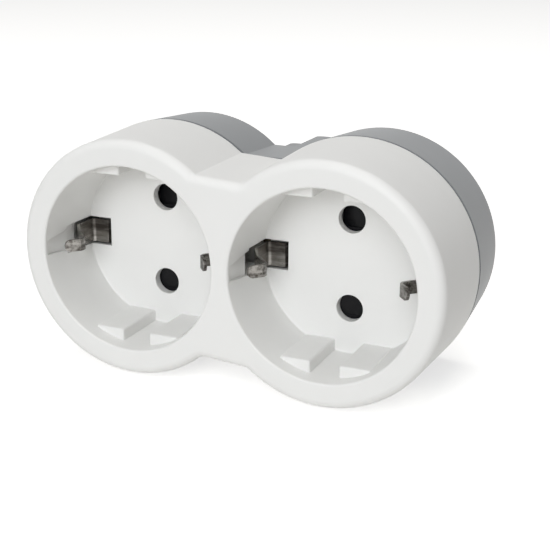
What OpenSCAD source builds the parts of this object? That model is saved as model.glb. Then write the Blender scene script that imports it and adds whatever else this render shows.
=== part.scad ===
// Two way earthed socket adapter: a twin lobed case with two round socket wells in
// its front and one round plug body with two pins on its back.
// Millimetres. X runs along the two sockets, Y runs back from the sockets to the
// plug, and Z is up. The origin is the middle of the plug's seating face.

/* [Case] */
// Depth of the case from its front face to its back
case_depth = 40; // [39.5:0.1:44]
// Depth of the front shell, up to the parting line
front_shell_depth = 21.6; // [21.6:0.1:22.4]
// Width of the front face around a well
rim_w = 5.5; // [5.2:0.1:7]
// How much lower the flat waist lies than the tops of the lobes
waist_drop = 6.3; // [5:0.1:7]
// Radius of the hollow corner between the waist and a lobe
waist_fillet_r = 3; // [2:0.1:4]
// Radius of the rounded front edge
front_edge_r = 2; // [1:0.1:2.4]
// Radius of the rounded back edge
back_edge_r = 1; // [0.5:0.1:1.5]
// Wall of the front shell
case_wall = 2.2; // [1.8:0.1:2.4]
// Thickness of the front face around the wells
face_t = 2.2; // [1.8:0.1:3]
// Thickness of the back wall
back_t = 2; // [1.6:0.1:2.4]

/* [Sockets] */
// Radius of a well at its mouth
well_r = 19.6; // [19:0.05:20.5]
// Depth of a well, which is the length of a plug body too
well_depth = 17.5; // [16.5:0.1:18.5]
// Thickness between the mouths of the two wells
well_gap = 3.8; // [3.4:0.1:8]
// Wall of the cup around a well
cup_wall = 2; // [1.9:0.05:2.2]
// Thickness of the floor of a well
floor_t = 2; // [1.8:0.1:2.2]
// Distance between the two pins of a socket or of the plug
pin_spacing = 19; // [18.8:0.1:19.4]
// Radius of a pin hole in the floor
pin_hole_r = 2.9; // [2.6:0.05:2.95]

/* [Plug] */
// Room between a plug body and the wall of a well
plug_play = 1.85; // [1:0.05:2.2]
// Radius of a plug pin
pin_r = 2.4; // [2.35:0.01:2.45]
// Length of a plug pin outside the plug body
pin_length = 19; // [18:0.1:19.2]

/* [Shutters] */
// Thickness of a shutter
shutter_t = 1.6; // [1.4:0.1:1.7]
// Half width of a shutter's arm
shutter_arm_w = 3; // [2.9:0.05:3.3]
// Angle that a shutter turns by when a plug goes in
shutter_travel = 40; // [38:1:45]
// Wire radius of a shutter spring
spring_wire_r = 0.2; // [0.15:0.01:0.25]

/* [Screws] */
// Radius of a screw's shank
screw_r = 1.5; // [1.3:0.05:1.6]
// Radius of a screw's head
screw_head_r = 2.9; // [2.7:0.05:3.1]

/* [Hidden] */

$fn = 96;
left = -1;
right = 1;
top = 1;
bottom = -1;
sides = [left, right];
cut_over = 1;          // how far a cut runs past a face
slide_gap = 0.3;       // room round a piece that drops into its place
run_gap = 0.05;        // radial room of a turning or pushed in fit
face_gap = 0.1;        // room beside a flat face that slides

// Depths, measured back from the front face
well_floor = well_depth + floor_t;
plug_face = case_depth + well_depth;
case_front = -plug_face;
back_inside = case_depth - back_t;
socket_spacing = 2 * well_r + well_gap;
socket_x = socket_spacing / 2;
pin_z = pin_spacing / 2;
join_lap = 0.2;        // how far one round of a turned piece runs into the next

// Case: draft, parting line and edges
front_draft = 0.7;     // growth of the front shell from its face to the parting line
shell_step = 0.05;     // how far the back shell lies inside the front shell
groove_w = 0.9;        // width of the groove at the parting line
groove_d = 0.45;       // depth of the groove at the parting line
back_draft = 1.15;     // how far a back lobe narrows to the back
waist_draft = 1;       // how far the back waist narrows to the back
lip_h = 1.5;           // how far the back shell's lip stands into the front shell
lip_root = 2;          // length of the lip's root on the back shell
lip_t = 1.1;           // thickness of the lip
lobe_r = well_r + rim_w;
waist_h = lobe_r - waist_drop;
cavity_r = lobe_r - case_wall;
cavity_waist = waist_h - case_wall;
lip_r = cavity_r - face_gap;
lip_waist = cavity_waist - face_gap;
back_cavity_r = lip_r - lip_t / 2;
back_cavity_waist = lip_waist - lip_t / 2;
fillet_sink = 0.02;    // how far the hollow corner dips into the waist and the lobe
waist_lap = 0.6;       // how far the waist runs on into the hollow corners
fillet_z = waist_h + waist_fillet_r - fillet_sink;
fillet_reach = lobe_r + waist_fillet_r - fillet_sink;
fillet_x = socket_x - sqrt(pow(fillet_reach, 2) - pow(fillet_z, 2));

// Wells
well_draft = 0.2;      // how far a well narrows to its floor
rim_edge_r = 0.5;      // rounding of the mouth's edge
rib_in = 3.1;          // inner side of a guide rib, from the socket's middle plane
rib_out = 9.7;         // outer side of a guide rib
rib_h = 2.9;           // height of a guide rib's flat top above the well's wall
rib_z = well_r - rib_h;
rib_front = 3.7;       // depth of a guide rib's front end
web_w = 7;             // width of the block that ties the two cups
web_h = 24;            // height of that block
slot_reach = 5.7;      // length of an earth slot in the floor, in from the wall
slot_in = well_r - slot_reach;
slot_h = 3.15;         // half height of an earth slot
pocket_len = 8;        // length of the pocket in the well's wall, up from the floor
slot_front = well_depth - pocket_len;
pocket_over = 0.8;     // how far that pocket's cut runs past the back of the cup's wall
channel_front = 1;     // depth where the shallow channel begins
channel_d = 0.55;      // depth of the shallow channel in the wall
channel_near_h = 1.6;  // half height of the channel at its front
channel_far_h = 2.8;   // half height of the channel at the pocket
channel_reach = 3;     // how far the channel's cutter reaches into the open well

// Plug body
plug_r = well_r - plug_play;
notch_side_room = 0.9; // room beside a guide rib in the plug body's notch
notch_room = 1.4;      // room above a guide rib in that notch
plug_notch_in = rib_in - notch_side_room;
plug_notch_z = rib_z - notch_room;
plug_edge_r = 1;       // rounding of the plug's end edge
plug_wall = 2.1;       // wall of the plug body under a notch
plug_bore_r = plug_notch_z - plug_wall;
plug_face_t = 2.5;     // thickness of the plug's end wall
groove_h = 3.1;        // half height of the groove for an earth contact
contact_sink = 0.45;   // how far an earth contact lies below the plug body's round
contact_t = 0.9;       // thickness of an earth contact
contact_x = plug_r - contact_sink - contact_t;
contact_h = 2.4;       // half height of an earth contact
contact_end = 1.2;     // how far an earth contact stops short of the plug's end
pin_boss_r = 4.2;      // radius of the boss round a plug pin

// Shutters, their posts and retainers
post_r = 2;            // radius of a shutter's post
post_tip_r = 1.2;      // radius of the post's tip
post_tip_over = 0.5;   // how far the tip stands past the retainer
hub_r = 4.4;           // radius of a shutter's hub
shutter_cover = 0.45;  // how far a shutter reaches past the pin holes
shutter_r = pin_z + pin_hole_r + shutter_cover;
ramp_d = 0.9;          // depth of a shutter's ramp
ramp_w = 4.2;          // half length of a shutter's ramp along its arm
peg_r = 0.6;           // radius of the peg that a spring leans on
peg_place = 5.6;       // distance of that peg from the socket's axis
peg_room = 0.15;       // room round that peg in the retainer's arc slot
spring_r = 3;          // radius of a spring's coil
spring_turns = 2.25;   // turns of a spring
spring_pitch = 0.45;   // rise of one turn
spring_steps = 28;     // points on one turn
spring_sides = 8;      // sides of the wire
spring_leg = 2.4;      // length of a spring's straight end
retainer_t = 1.2;      // thickness of a retainer
retainer_edge = 1.3;   // room between a retainer and the lip
retainer_r = lip_r - lip_t - retainer_edge;
retainer_room = 1.7;   // room between a shutter and its retainer
retainer_bore_r = 3.1; // radius of a retainer's pin hole
leg_room = 0.6;        // room on each side of the earth clip's leg in its slot
stud_r = 1.8;          // radius of a stud that carries a retainer
stud_tip_r = 1.1;      // radius of that stud's tip
shutter_front = well_floor + face_gap;
shutter_back = shutter_front + shutter_t;
retainer_front = shutter_back + retainer_room;
retainer_back = retainer_front + retainer_t;

// Earth parts
strip_t = 0.6;         // thickness of the clip's spring strip
strip_h = 2.6;         // half height of the strip
tongue_h = 1.3;        // half height of the clip's rounded tongue
shoulder = 1;          // length over which an arm narrows to its tongue
foot_sink = 0.5;       // how far the middle of the clip's foot lies below the floor
leg_gap = 0.2;         // gap between a clip's leg and the slot's inner end
arm_set = 0.7;         // how far a clip's arm stands off the line of the wall
nose_set = 5.1;        // how far the clip's nose reaches in from the wall
tip_set = 2.75;        // how far the tongue's tip lies in from the wall
bend_rise = 5.5;       // height above the floor where the arm leaves the wall
nose_back_rise = 10.1; // height above the floor of the nose's back bend
nose_front_rise = 11.3; // height above the floor of the nose's front bend
tip_rise = 14;         // height above the floor of the tongue's tip
arm_x = well_r - arm_set;
nose_x = well_r - nose_set;
tip_x = well_r - tip_set;
leg_x = slot_in + strip_t / 2 + leg_gap;
bend_depth = well_depth - bend_rise;
nose_back = well_depth - nose_back_rise;
nose_front = well_depth - nose_front_rise;
tip_depth = well_depth - tip_rise;
bar_t = 0.8;           // thickness of the earth bar and of the buses
bar_h = 2.4;           // half height of the earth bar
bar_over = 5;          // how far the earth bar runs past a socket's middle
earth_foot = 8;        // length of an earth contact's foot on the bar
earth_rivet_r = 1.1;   // radius of an earth rivet
earth_head_r = 2;      // radius of its head
earth_head_t = 0.5;    // thickness of its head
clip_base = retainer_back + strip_t / 2;
bar_front = retainer_back + strip_t;
bar_back = bar_front + bar_t;

// Contacts, buses and pins
sleeve_r = 3.3;        // outer radius of a contact sleeve
sleeve_bore_r = 2.55;  // inner radius of a contact sleeve
sleeve_gap = 0.9;      // room between the retainer and a sleeve's mouth
sleeve_front = retainer_back + sleeve_gap;
sleeve_end_t = 0.9;    // thickness of the sleeve's closed end
sleeve_slit = 0.9;     // width of the slit that lets the sleeve spring
bus_h = 3;             // half height of a bus
bus_over = 4;          // how far a bus runs past a socket's middle
bus_rivet_r = 1.1;     // radius of the stem through a bus
bus_head_r = 1.9;      // radius of its riveted head
bus_head_t = 0.5;      // thickness of its riveted head
pin_root_step = 0.3;   // how much thicker a plug pin is inside the plug body
pin_root_r = pin_r + pin_root_step;
pin_flange_r = 3.4;    // radius of a plug pin's flange
pin_flange_t = 1.2;    // thickness of that flange
pin_round = 2;         // length of the pin's rounded nose
pin_nose_r = 0.9;      // radius of the flat on the pin's nose
bus_back = back_inside - bus_head_t;
bus_front = bus_back - bar_t;
cradle_t = 1.2;        // thickness of the low wall beside a bus
cradle_h = 2.4;        // height of that wall
cradle_inset = 1.8;    // how far that wall keeps off the plug body's hollow
cradle_over = 5.5;     // how far it runs past the socket's middle
cradle_in = plug_bore_r + cradle_inset;
cradle_out = socket_x + cradle_over;

// Screws and their bosses
screw_inset = 5.1;     // distance from a screw's axis to the inside of the lobe
screw_angle = 52;      // angle of a screw about its socket's axis, up from outward
screw_boss_r = 3;      // radius of a front boss
screw_sink = 5;        // depth of the counterbore for a screw's head
back_boss_h = 5;       // height of a back boss below the counterbore
screw_head_t = 2;      // height of a screw's head
screw_tip_room = 1.5;  // distance from a screw's tip to the back of the well's floor
screw_slot_w = 0.9;    // width of the driver's cross
screw_slot_d = 1.1;    // depth of the driver's cross
boss_wall = 1.2;       // wall round the screw's counterbore
screw_place_r = cavity_r - screw_inset;
screw_dx = screw_place_r * cos(screw_angle);
screw_dz = screw_place_r * sin(screw_angle);
screw_seat = case_depth - screw_sink;
screw_boss_end = screw_seat - back_boss_h;
screw_tip = well_floor + screw_tip_room;
stud_dx = -screw_dx;

// A flat shape drawn in X and Z, filled between two depths
module slab(near, far) {
  translate([0, case_front + far, 0])
    rotate([90, 0, 0])
      linear_extrude(far - near)
        children();
}

// A profile drawn as radius and depth, turned about the Y axis
module turned() {
  translate([0, case_front, 0])
    rotate([-90, 0, 0])
      rotate_extrude()
        children();
}

// A profile drawn as depth and height, drawn out along X between two places
module along_x(from, to) {
  translate([from, case_front, 0])
    rotate([90, 0, 90])
      linear_extrude(to - from)
        children();
}

// A profile drawn as place and depth, drawn out along Z, evenly about the middle
module along_z(half_h) {
  translate([0, case_front, -half_h])
    linear_extrude(2 * half_h)
      children();
}

module at_socket(side) {
  translate([side * socket_x, 0, 0])
    children();
}

module at_height(z) {
  translate([0, 0, z])
    children();
}

// The far side is the mirror image of the near one
module facing(side) {
  mirror([side < 0 ? 1 : 0, 0, 0])
    children();
}

// A round bar along Y between two depths
module rod(r, near, far) {
  translate([0, case_front + near, 0])
    rotate([-90, 0, 0])
      cylinder(r = r, h = far - near);
}

function unit(v) = v / norm(v);
function normal(a, b) = let (d = unit(b - a)) [-d[1], d[0]];

// One corner of a strip's edge, mitred between its two straight runs
function mitre(points, i, offset_by) =
  let (
    last = len(points) - 1,
    before = normal(points[max(i - 1, 0)], points[max(i, 1)]),
    after = normal(points[min(i, last - 1)], points[min(i + 1, last)]),
    middle = unit(before + after)
  )
  points[i] + middle * offset_by / (middle * after);

// The outline of a bent strip that follows a line of points
function strip(points, t) = concat(
  [for (i = [0 : len(points) - 1]) mitre(points, i, t / 2)],
  [for (i = [len(points) - 1 : -1 : 0]) mitre(points, i, -t / 2)]
);

// Two lobes and the waist between them
module case_outline(r, waist) {
  for (side = sides)
    translate([side * socket_x, 0])
      circle(r);
  square([socket_spacing, 2 * waist], center = true);
}

// Front shell
module front_lobe() {
  parting_r = lobe_r + front_draft;
  turned() {
    polygon([
      [0, 0], [lobe_r - front_edge_r, 0], [lobe_r, front_edge_r],
      [parting_r, front_shell_depth], [0, front_shell_depth]
    ]);
    translate([lobe_r - front_edge_r, front_edge_r])
      circle(front_edge_r);
  }
}

module front_waist() {
  parting_h = waist_h + front_draft;
  along_x(-fillet_x - waist_lap, fillet_x + waist_lap) {
    polygon([
      [0, front_edge_r - waist_h], [0, waist_h - front_edge_r],
      [front_edge_r, waist_h], [front_shell_depth, parting_h],
      [front_shell_depth, -parting_h], [front_edge_r, -waist_h]
    ]);
    for (end = [top, bottom])
      translate([front_edge_r, end * (waist_h - front_edge_r)])
        circle(front_edge_r);
  }
}

// The hollow corner, cut by a cone whose mouth flares with the front edge
module waist_corner() {
  mouth_r = waist_fillet_r + front_edge_r;
  difference() {
    slab(0, front_shell_depth)
      polygon([[fillet_x, fillet_z], [fillet_x, 0], [socket_x, 0]]);
    translate([fillet_x, 0, fillet_z])
      turned() {
        difference() {
          polygon([
            [0, -cut_over], [mouth_r, -cut_over],
            [mouth_r, front_edge_r], [0, front_edge_r]
          ]);
          translate([mouth_r, front_edge_r])
            circle(front_edge_r);
        }
        polygon([
          [0, front_edge_r], [waist_fillet_r, front_edge_r],
          [waist_fillet_r - front_draft, front_shell_depth],
          [waist_fillet_r - front_draft, front_shell_depth + cut_over],
          [0, front_shell_depth + cut_over]
        ]);
      }
  }
}

module front_shell() {
  for (side = sides)
    at_socket(side)
      front_lobe();
  front_waist();
  for (side = sides)
    facing(side) {
      waist_corner();
      mirror([0, 0, 1])
        waist_corner();
    }
}

module guide_ribs() {
  for (side = sides, end = [top, bottom])
    facing(side)
      mirror([0, 0, end < 0 ? 1 : 0])
        slab(rib_front, well_depth + cut_over)
          translate([rib_in, rib_z])
            square([rib_out - rib_in, well_r + cup_wall - rib_z]);
}

module well_space() {
  mouth_r = well_r + rim_edge_r;
  difference() {
    turned() {
      difference() {
        polygon([
          [0, -cut_over], [mouth_r, -cut_over],
          [mouth_r, rim_edge_r], [0, rim_edge_r]
        ]);
        translate([mouth_r, rim_edge_r])
          circle(rim_edge_r);
      }
      polygon([
        [0, 0], [well_r - rim_edge_r, 0], [well_r, rim_edge_r],
        [well_r - well_draft, well_depth], [0, well_depth]
      ]);
    }
    guide_ribs();
  }
}

// Pocket and floor slot for one arm of the earth clip, with the channel before it
module earth_slot() {
  slab(slot_front, well_floor + cut_over)
    translate([slot_in, -slot_h])
      square([well_r + cup_wall + pocket_over - slot_in, 2 * slot_h]);
  along_x(well_r - channel_reach, well_r + channel_d)
    polygon([
      [channel_front, channel_near_h], [channel_front, -channel_near_h],
      [slot_front + cut_over, -channel_far_h], [slot_front + cut_over, channel_far_h]
    ]);
}

module socket_cuts() {
  well_space();
  for (side = sides) {
    facing(side)
      earth_slot();
    at_height(side * pin_z)
      rod(pin_hole_r, well_depth - cut_over, well_floor + cut_over);
  }
}

// Post for the shutter, studs for the retainer and bosses for the screws
module socket_posts() {
  floor_root = well_floor - floor_t / 2;
  rod(post_r, floor_root, retainer_front);
  rod(post_tip_r, retainer_front - cut_over, retainer_back + post_tip_over);
  for (end = [top, bottom]) {
    translate([stud_dx, 0, end * screw_dz]) {
      rod(stud_r, floor_root, retainer_front);
      rod(stud_tip_r, retainer_front - cut_over, retainer_back + post_tip_over);
    }
    translate([screw_dx, 0, end * screw_dz])
      rod(screw_boss_r, floor_root, screw_boss_end);
  }
}

module screw_holes_in_front() {
  for (end = [top, bottom])
    translate([screw_dx, 0, end * screw_dz])
      rod(screw_r + run_gap, screw_tip - slide_gap, screw_boss_end + cut_over);
}

module front_cover() {
  color([0.91, 0.91, 0.905])
    difference() {
      union() {
        difference() {
          front_shell();
          slab(face_t, front_shell_depth + cut_over)
            case_outline(cavity_r, cavity_waist);
        }
        for (side = sides)
          at_socket(side) {
            rod(well_r + cup_wall, 0, well_floor);
            facing(side)
              socket_posts();
          }
        slab(0, well_floor)
          square([web_w, web_h], center = true);
      }
      for (side = sides)
        at_socket(side) {
          socket_cuts();
          facing(side)
            screw_holes_in_front();
        }
    }
}

// Back shell
module back_lobe() {
  parting_r = lobe_r + front_draft - shell_step;
  back_r = parting_r - back_draft;
  groove_end = front_shell_depth + groove_w;
  turned() {
    polygon([
      [0, front_shell_depth], [parting_r - groove_d, front_shell_depth],
      [parting_r - groove_d, groove_end], [parting_r, groove_end],
      [back_r, case_depth - back_edge_r], [back_r - back_edge_r, case_depth],
      [0, case_depth]
    ]);
    translate([back_r - back_edge_r, case_depth - back_edge_r])
      circle(back_edge_r);
  }
}

module back_waist() {
  parting_h = waist_h + front_draft - shell_step;
  back_h = parting_h - waist_draft;
  groove_end = front_shell_depth + groove_w;
  along_x(-socket_x, socket_x)
    for (end = [top, bottom])
      mirror([0, end < 0 ? 1 : 0]) {
        polygon([
          [front_shell_depth, 0], [front_shell_depth, parting_h - groove_d],
          [groove_end, parting_h - groove_d], [groove_end, parting_h],
          [case_depth - back_edge_r, back_h], [case_depth, back_h - back_edge_r],
          [case_depth, 0]
        ]);
        translate([case_depth - back_edge_r, back_h - back_edge_r])
          circle(back_edge_r);
      }
}

// Lip that locates the back shell inside the front shell
module back_lip() {
  slab(front_shell_depth - lip_h, front_shell_depth + lip_root)
    difference() {
      case_outline(lip_r, lip_waist);
      case_outline(lip_r - lip_t, lip_waist - lip_t);
    }
}

module plug_body() {
  difference() {
    turned() {
      polygon([
        [0, back_inside], [plug_r, back_inside],
        [plug_r, plug_face - plug_edge_r], [plug_r - plug_edge_r, plug_face],
        [0, plug_face]
      ]);
      translate([plug_r - plug_edge_r, plug_face - plug_edge_r])
        circle(plug_edge_r);
    }
    for (side = sides)
      facing(side) {
        for (end = [top, bottom])
          mirror([0, 0, end < 0 ? 1 : 0])
            slab(case_depth, plug_face + cut_over)
              translate([plug_notch_in, plug_notch_z])
                square([rib_out - plug_notch_in, plug_r - plug_notch_z + cut_over]);
        slab(case_depth, plug_face + cut_over)
          translate([contact_x - face_gap, -groove_h])
            square([plug_r - contact_x + cut_over, 2 * groove_h]);
      }
  }
}

module plug_hollow() {
  difference() {
    rod(plug_bore_r, back_inside - cut_over, plug_face - plug_face_t);
    for (end = [top, bottom])
      at_height(end * pin_z)
        rod(pin_boss_r, back_inside + pin_flange_t, plug_face);
  }
  for (end = [top, bottom])
    at_height(end * pin_z) {
      rod(pin_root_r + run_gap, back_inside, plug_face + cut_over);
      rod(pin_flange_r + face_gap, back_inside - cut_over, back_inside + pin_flange_t);
    }
}

// Slot through the back wall where an earth contact comes in
module contact_slot() {
  slab(back_inside - cut_over, case_depth + cut_over)
    translate([contact_x - face_gap, -contact_h - face_gap])
      square([contact_t + 2 * face_gap, 2 * (contact_h + face_gap)]);
}

module back_screw_boss() {
  rod(screw_head_r + slide_gap + boss_wall, screw_seat - boss_wall, case_depth - back_edge_r);
  rod(screw_boss_r, screw_boss_end, screw_seat);
}

module back_screw_hole() {
  rod(screw_r + slide_gap, screw_boss_end - cut_over, screw_seat + cut_over);
  rod(screw_head_r + slide_gap, screw_seat, case_depth + cut_over);
}

// Low walls that keep a bus in line
module bus_cradle() {
  for (edge = [top, bottom])
    slab(back_inside - cradle_h, back_inside + back_t / 2)
      translate([cradle_in, edge * (bus_h + slide_gap + cradle_t / 2) - cradle_t / 2])
        square([cradle_out - cradle_in, cradle_t]);
}

module rear_cover() {
  color([0.56, 0.57, 0.58])
    difference() {
      union() {
        difference() {
          union() {
            for (side = sides)
              at_socket(side)
                back_lobe();
            back_waist();
          }
          slab(front_shell_depth - cut_over, back_inside)
            case_outline(back_cavity_r, back_cavity_waist);
        }
        back_lip();
        plug_body();
        for (side = sides)
          facing(side)
            for (end = [top, bottom]) {
              translate([socket_x + screw_dx, 0, end * screw_dz])
                back_screw_boss();
              at_height(end * pin_z)
                bus_cradle();
            }
      }
      plug_hollow();
      for (side = sides)
        facing(side) {
          contact_slot();
          for (end = [top, bottom])
            translate([socket_x + screw_dx, 0, end * screw_dz])
              back_screw_hole();
        }
    }
}

// Shutter: a turning arm that closes both pin holes from behind
module shutter() {
  difference() {
    union() {
      rod(hub_r, shutter_front, shutter_back);
      slab(shutter_front, shutter_back)
        intersection() {
          square([2 * shutter_arm_w, 2 * shutter_r], center = true);
          circle(shutter_r);
        }
      translate([peg_place, 0, 0])
        rod(peg_r, shutter_front, retainer_back - face_gap);
      slab(shutter_front, shutter_back)
        translate([0, -peg_r])
          square([peg_place, 2 * peg_r]);
    }
    rod(post_r + run_gap, shutter_front - cut_over, shutter_back + cut_over);
    for (end = [top, bottom])
      rotate([0, end > 0 ? 0 : 180, 0])
        shutter_ramp();
  }
}

// The slope that a pin pushes on, so that the arm turns out of its way
module shutter_ramp() {
  translate([0, case_front, pin_z - ramp_w / 2])
    linear_extrude(ramp_w)
      polygon([
        [-shutter_arm_w - cut_over, shutter_front - cut_over],
        [shutter_arm_w, shutter_front - cut_over],
        [shutter_arm_w, shutter_front],
        [-shutter_arm_w, shutter_front + ramp_d],
        [-shutter_arm_w - cut_over, shutter_front + ramp_d]
      ]);
}

module shutter_left() {
  color([0.11, 0.11, 0.11])
    at_socket(left)
      shutter();
}

module shutter_right() {
  color([0.11, 0.11, 0.11])
    at_socket(right)
      shutter();
}

// Wire torsion spring: a flat coil round the post with one straight leg
function coil_point(i) =
  let (angle = 360 * i / spring_steps)
  [
    spring_r * cos(angle),
    shutter_back + face_gap + spring_wire_r + spring_pitch * i / spring_steps,
    spring_r * sin(angle)
  ];
spring_count = spring_turns * spring_steps;
spring_end = coil_point(spring_count);
spring_path = concat(
  [[spring_r + spring_leg, coil_point(0)[1], -spring_r / 2]],
  [for (i = [0 : spring_count]) coil_point(i)],
  [spring_end + [-spring_leg, 0, spring_r / 2]]
);

// A ring of the wire's section at one point, square to the wire there
function wire_ring(path, i) =
  let (
    last = len(path) - 1,
    along = unit(path[min(i + 1, last)] - path[max(i - 1, 0)]),
    across = unit(cross(along, [0, 1, 0])),
    upward = cross(across, along)
  )
  [
    for (k = [0 : spring_sides - 1])
      let (angle = 360 * k / spring_sides)
      path[i] + spring_wire_r * (across * cos(angle) + upward * sin(angle))
  ];

module wire(path) {
  rings = len(path);
  polyhedron(
    points = [for (i = [0 : rings - 1]) each wire_ring(path, i)],
    faces = concat(
      [[for (k = [0 : spring_sides - 1]) k]],
      [
        for (i = [0 : rings - 2], k = [0 : spring_sides - 1])
          let (
            here = i * spring_sides,
            next = (k + 1) % spring_sides
          )
          [here + k, here + spring_sides + k, here + spring_sides + next, here + next]
      ],
      [[for (k = [spring_sides - 1 : -1 : 0]) (rings - 1) * spring_sides + k]]
    )
  );
}

module shutter_spring(side) {
  color([0.75, 0.76, 0.78])
    at_socket(side)
      translate([0, case_front, 0])
        wire(spring_path);
}

module shutter_spring_left() {
  shutter_spring(left);
}

module shutter_spring_right() {
  shutter_spring(right);
}

// Arc slot for a shutter's peg, which stops the shutter at both ends of its travel
module peg_slot() {
  slot_r = peg_r + peg_room;
  far = 2 * peg_place;
  intersection() {
    difference() {
      circle(peg_place + slot_r);
      circle(peg_place - slot_r);
    }
    polygon([
      [0, 0], [far, 0], [far, -far * tan(shutter_travel / 2)],
      [far * cos(shutter_travel), -far * sin(shutter_travel)]
    ]);
  }
  for (angle = [0, -shutter_travel])
    rotate(angle)
      translate([peg_place, 0])
        circle(slot_r);
}

// Plate behind a shutter, held on the post and the studs
module shutter_retainer(side) {
  color([0.91, 0.91, 0.905])
    at_socket(side)
      slab(retainer_front, retainer_back)
        difference() {
          circle(retainer_r);
          circle(post_tip_r + run_gap);
          peg_slot();
          for (end = [top, bottom]) {
            translate([0, end * pin_z])
              circle(retainer_bore_r);
            translate([side * stud_dx, end * screw_dz])
              circle(stud_tip_r + run_gap);
            translate([side * screw_dx, end * screw_dz])
              circle(screw_boss_r + slide_gap);
            translate([end * leg_x, 0])
              square([strip_t + 2 * leg_room, 2 * (strip_h + slide_gap)], center = true);
          }
        }
}

module shutter_retainer_left() {
  shutter_retainer(left);
}

module shutter_retainer_right() {
  shutter_retainer(right);
}

// Earth clip: one bent strip with an arm up each side of a well
foot_depth = well_depth + foot_sink;
arm_path = [
  [0, clip_base], [leg_x, clip_base], [leg_x, foot_depth], [arm_x, foot_depth],
  [arm_x, bend_depth], [nose_x, nose_back], [nose_x, nose_front], [tip_x, tip_depth]
];

// The strip's outline seen from the side: wide in the wall, a round tongue in front
module clip_outline() {
  polygon([
    [bend_depth, strip_h], [bar_front + cut_over, strip_h],
    [bar_front + cut_over, -strip_h], [bend_depth, -strip_h],
    [bend_depth - shoulder, -tongue_h], [tip_depth + tongue_h, -tongue_h],
    [tip_depth + tongue_h, tongue_h], [bend_depth - shoulder, tongue_h]
  ]);
  translate([tip_depth + tongue_h, 0])
    circle(tongue_h);
}

module earth_clip(side) {
  color([0.45, 0.43, 0.41])
    at_socket(side)
      difference() {
        for (arm = sides)
          facing(arm)
            intersection() {
              along_z(strip_h)
                polygon(strip(arm_path, strip_t));
              along_x(-cut_over, arm_x + cut_over)
                clip_outline();
            }
        rod(earth_rivet_r + run_gap, clip_base - cut_over, bar_front + cut_over);
      }
}

module earth_clip_left() {
  earth_clip(left);
}

module earth_clip_right() {
  earth_clip(right);
}

module earth_bar() {
  color([0.78, 0.64, 0.33])
    slab(bar_front, bar_back)
      difference() {
        square([socket_spacing + 2 * bar_over, 2 * bar_h], center = true);
        for (side = sides)
          translate([side * socket_x, 0])
            circle(earth_rivet_r + run_gap);
      }
}

module earth_rivet(side) {
  color([0.78, 0.64, 0.33])
    at_socket(side) {
      rod(earth_rivet_r, retainer_back + post_tip_over + face_gap, bar_back + join_lap);
      rod(earth_head_r, bar_back, bar_back + earth_head_t);
    }
}

module earth_rivet_left() {
  earth_rivet(left);
}

module earth_rivet_right() {
  earth_rivet(right);
}

// Earth contact of the plug: lies in the side groove and turns in under the earth bar
module plug_earth_contact(side) {
  middle_x = contact_x + contact_t / 2;
  foot = bar_back + contact_t / 2;
  color([0.8, 0.8, 0.8])
    facing(side)
      along_z(contact_h)
        polygon(strip([
          [middle_x - earth_foot, foot], [middle_x, foot],
          [middle_x, plug_face - contact_end]
        ], contact_t));
}

module plug_earth_contact_left() {
  plug_earth_contact(left);
}

module plug_earth_contact_right() {
  plug_earth_contact(right);
}

// Contact sleeve that grips a pin, riveted to its bus
module contact_sleeve(side, end) {
  color([0.78, 0.64, 0.33])
    translate([side * socket_x, 0, end * pin_z]) {
      difference() {
        rod(sleeve_r, sleeve_front, bus_front);
        rod(sleeve_bore_r, sleeve_front - cut_over, bus_front - sleeve_end_t);
        slab(sleeve_front - cut_over, bus_front - sleeve_end_t)
          square([sleeve_slit, 2 * (sleeve_r + cut_over)], center = true);
      }
      rod(bus_rivet_r, bus_front - join_lap, bus_back + join_lap);
      rod(bus_head_r, bus_back, back_inside);
    }
}

module live_clip_left() {
  contact_sleeve(left, top);
}

module live_clip_right() {
  contact_sleeve(right, top);
}

module neutral_clip_left() {
  contact_sleeve(left, bottom);
}

module neutral_clip_right() {
  contact_sleeve(right, bottom);
}

// Brass strip that joins two contact sleeves to one plug pin
module bus(end) {
  color([0.78, 0.64, 0.33])
    slab(bus_front, bus_back)
      translate([0, end * pin_z])
        difference() {
          square([socket_spacing + 2 * bus_over, 2 * bus_h], center = true);
          circle(bus_rivet_r + run_gap);
          for (side = sides)
            translate([side * socket_x, 0])
              circle(bus_rivet_r + run_gap);
        }
}

module live_bus() {
  bus(top);
}

module neutral_bus() {
  bus(bottom);
}

// Plug pin with its flange inside the case and its stem through the bus
module plug_pin(end) {
  pin_tip = plug_face + pin_length;
  color([0.8, 0.8, 0.79])
    at_height(end * pin_z) {
      turned()
        polygon([
          [0, bus_back], [pin_root_r, bus_back], [pin_root_r, plug_face],
          [pin_r, plug_face], [pin_r, pin_tip - pin_round],
          [(pin_r + pin_nose_r) / 2, pin_tip - pin_round / 3],
          [pin_nose_r, pin_tip], [0, pin_tip]
        ]);
      rod(pin_flange_r, back_inside, back_inside + pin_flange_t);
      rod(bus_rivet_r, bus_front - join_lap, bus_back + join_lap);
      rod(bus_head_r, bus_front - bus_head_t, bus_front);
    }
}

module plug_pin_live() {
  plug_pin(top);
}

module plug_pin_neutral() {
  plug_pin(bottom);
}

// Cross headed screw that draws the back shell to the front shell
module case_screw(side, end) {
  color([0.72, 0.72, 0.7])
    translate([side * (socket_x + screw_dx), 0, end * screw_dz])
      difference() {
        union() {
          rod(screw_r, screw_tip, screw_seat + join_lap);
          rod(screw_head_r, screw_seat, screw_seat + screw_head_t);
        }
        for (turn = [0, 90])
          slab(screw_seat + screw_head_t - screw_slot_d, screw_seat + screw_head_t + cut_over)
            rotate(turn)
              square([screw_slot_w, screw_head_r], center = true);
      }
}

module case_screw_left_top() {
  case_screw(left, top);
}

module case_screw_left_bottom() {
  case_screw(left, bottom);
}

module case_screw_right_top() {
  case_screw(right, top);
}

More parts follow.
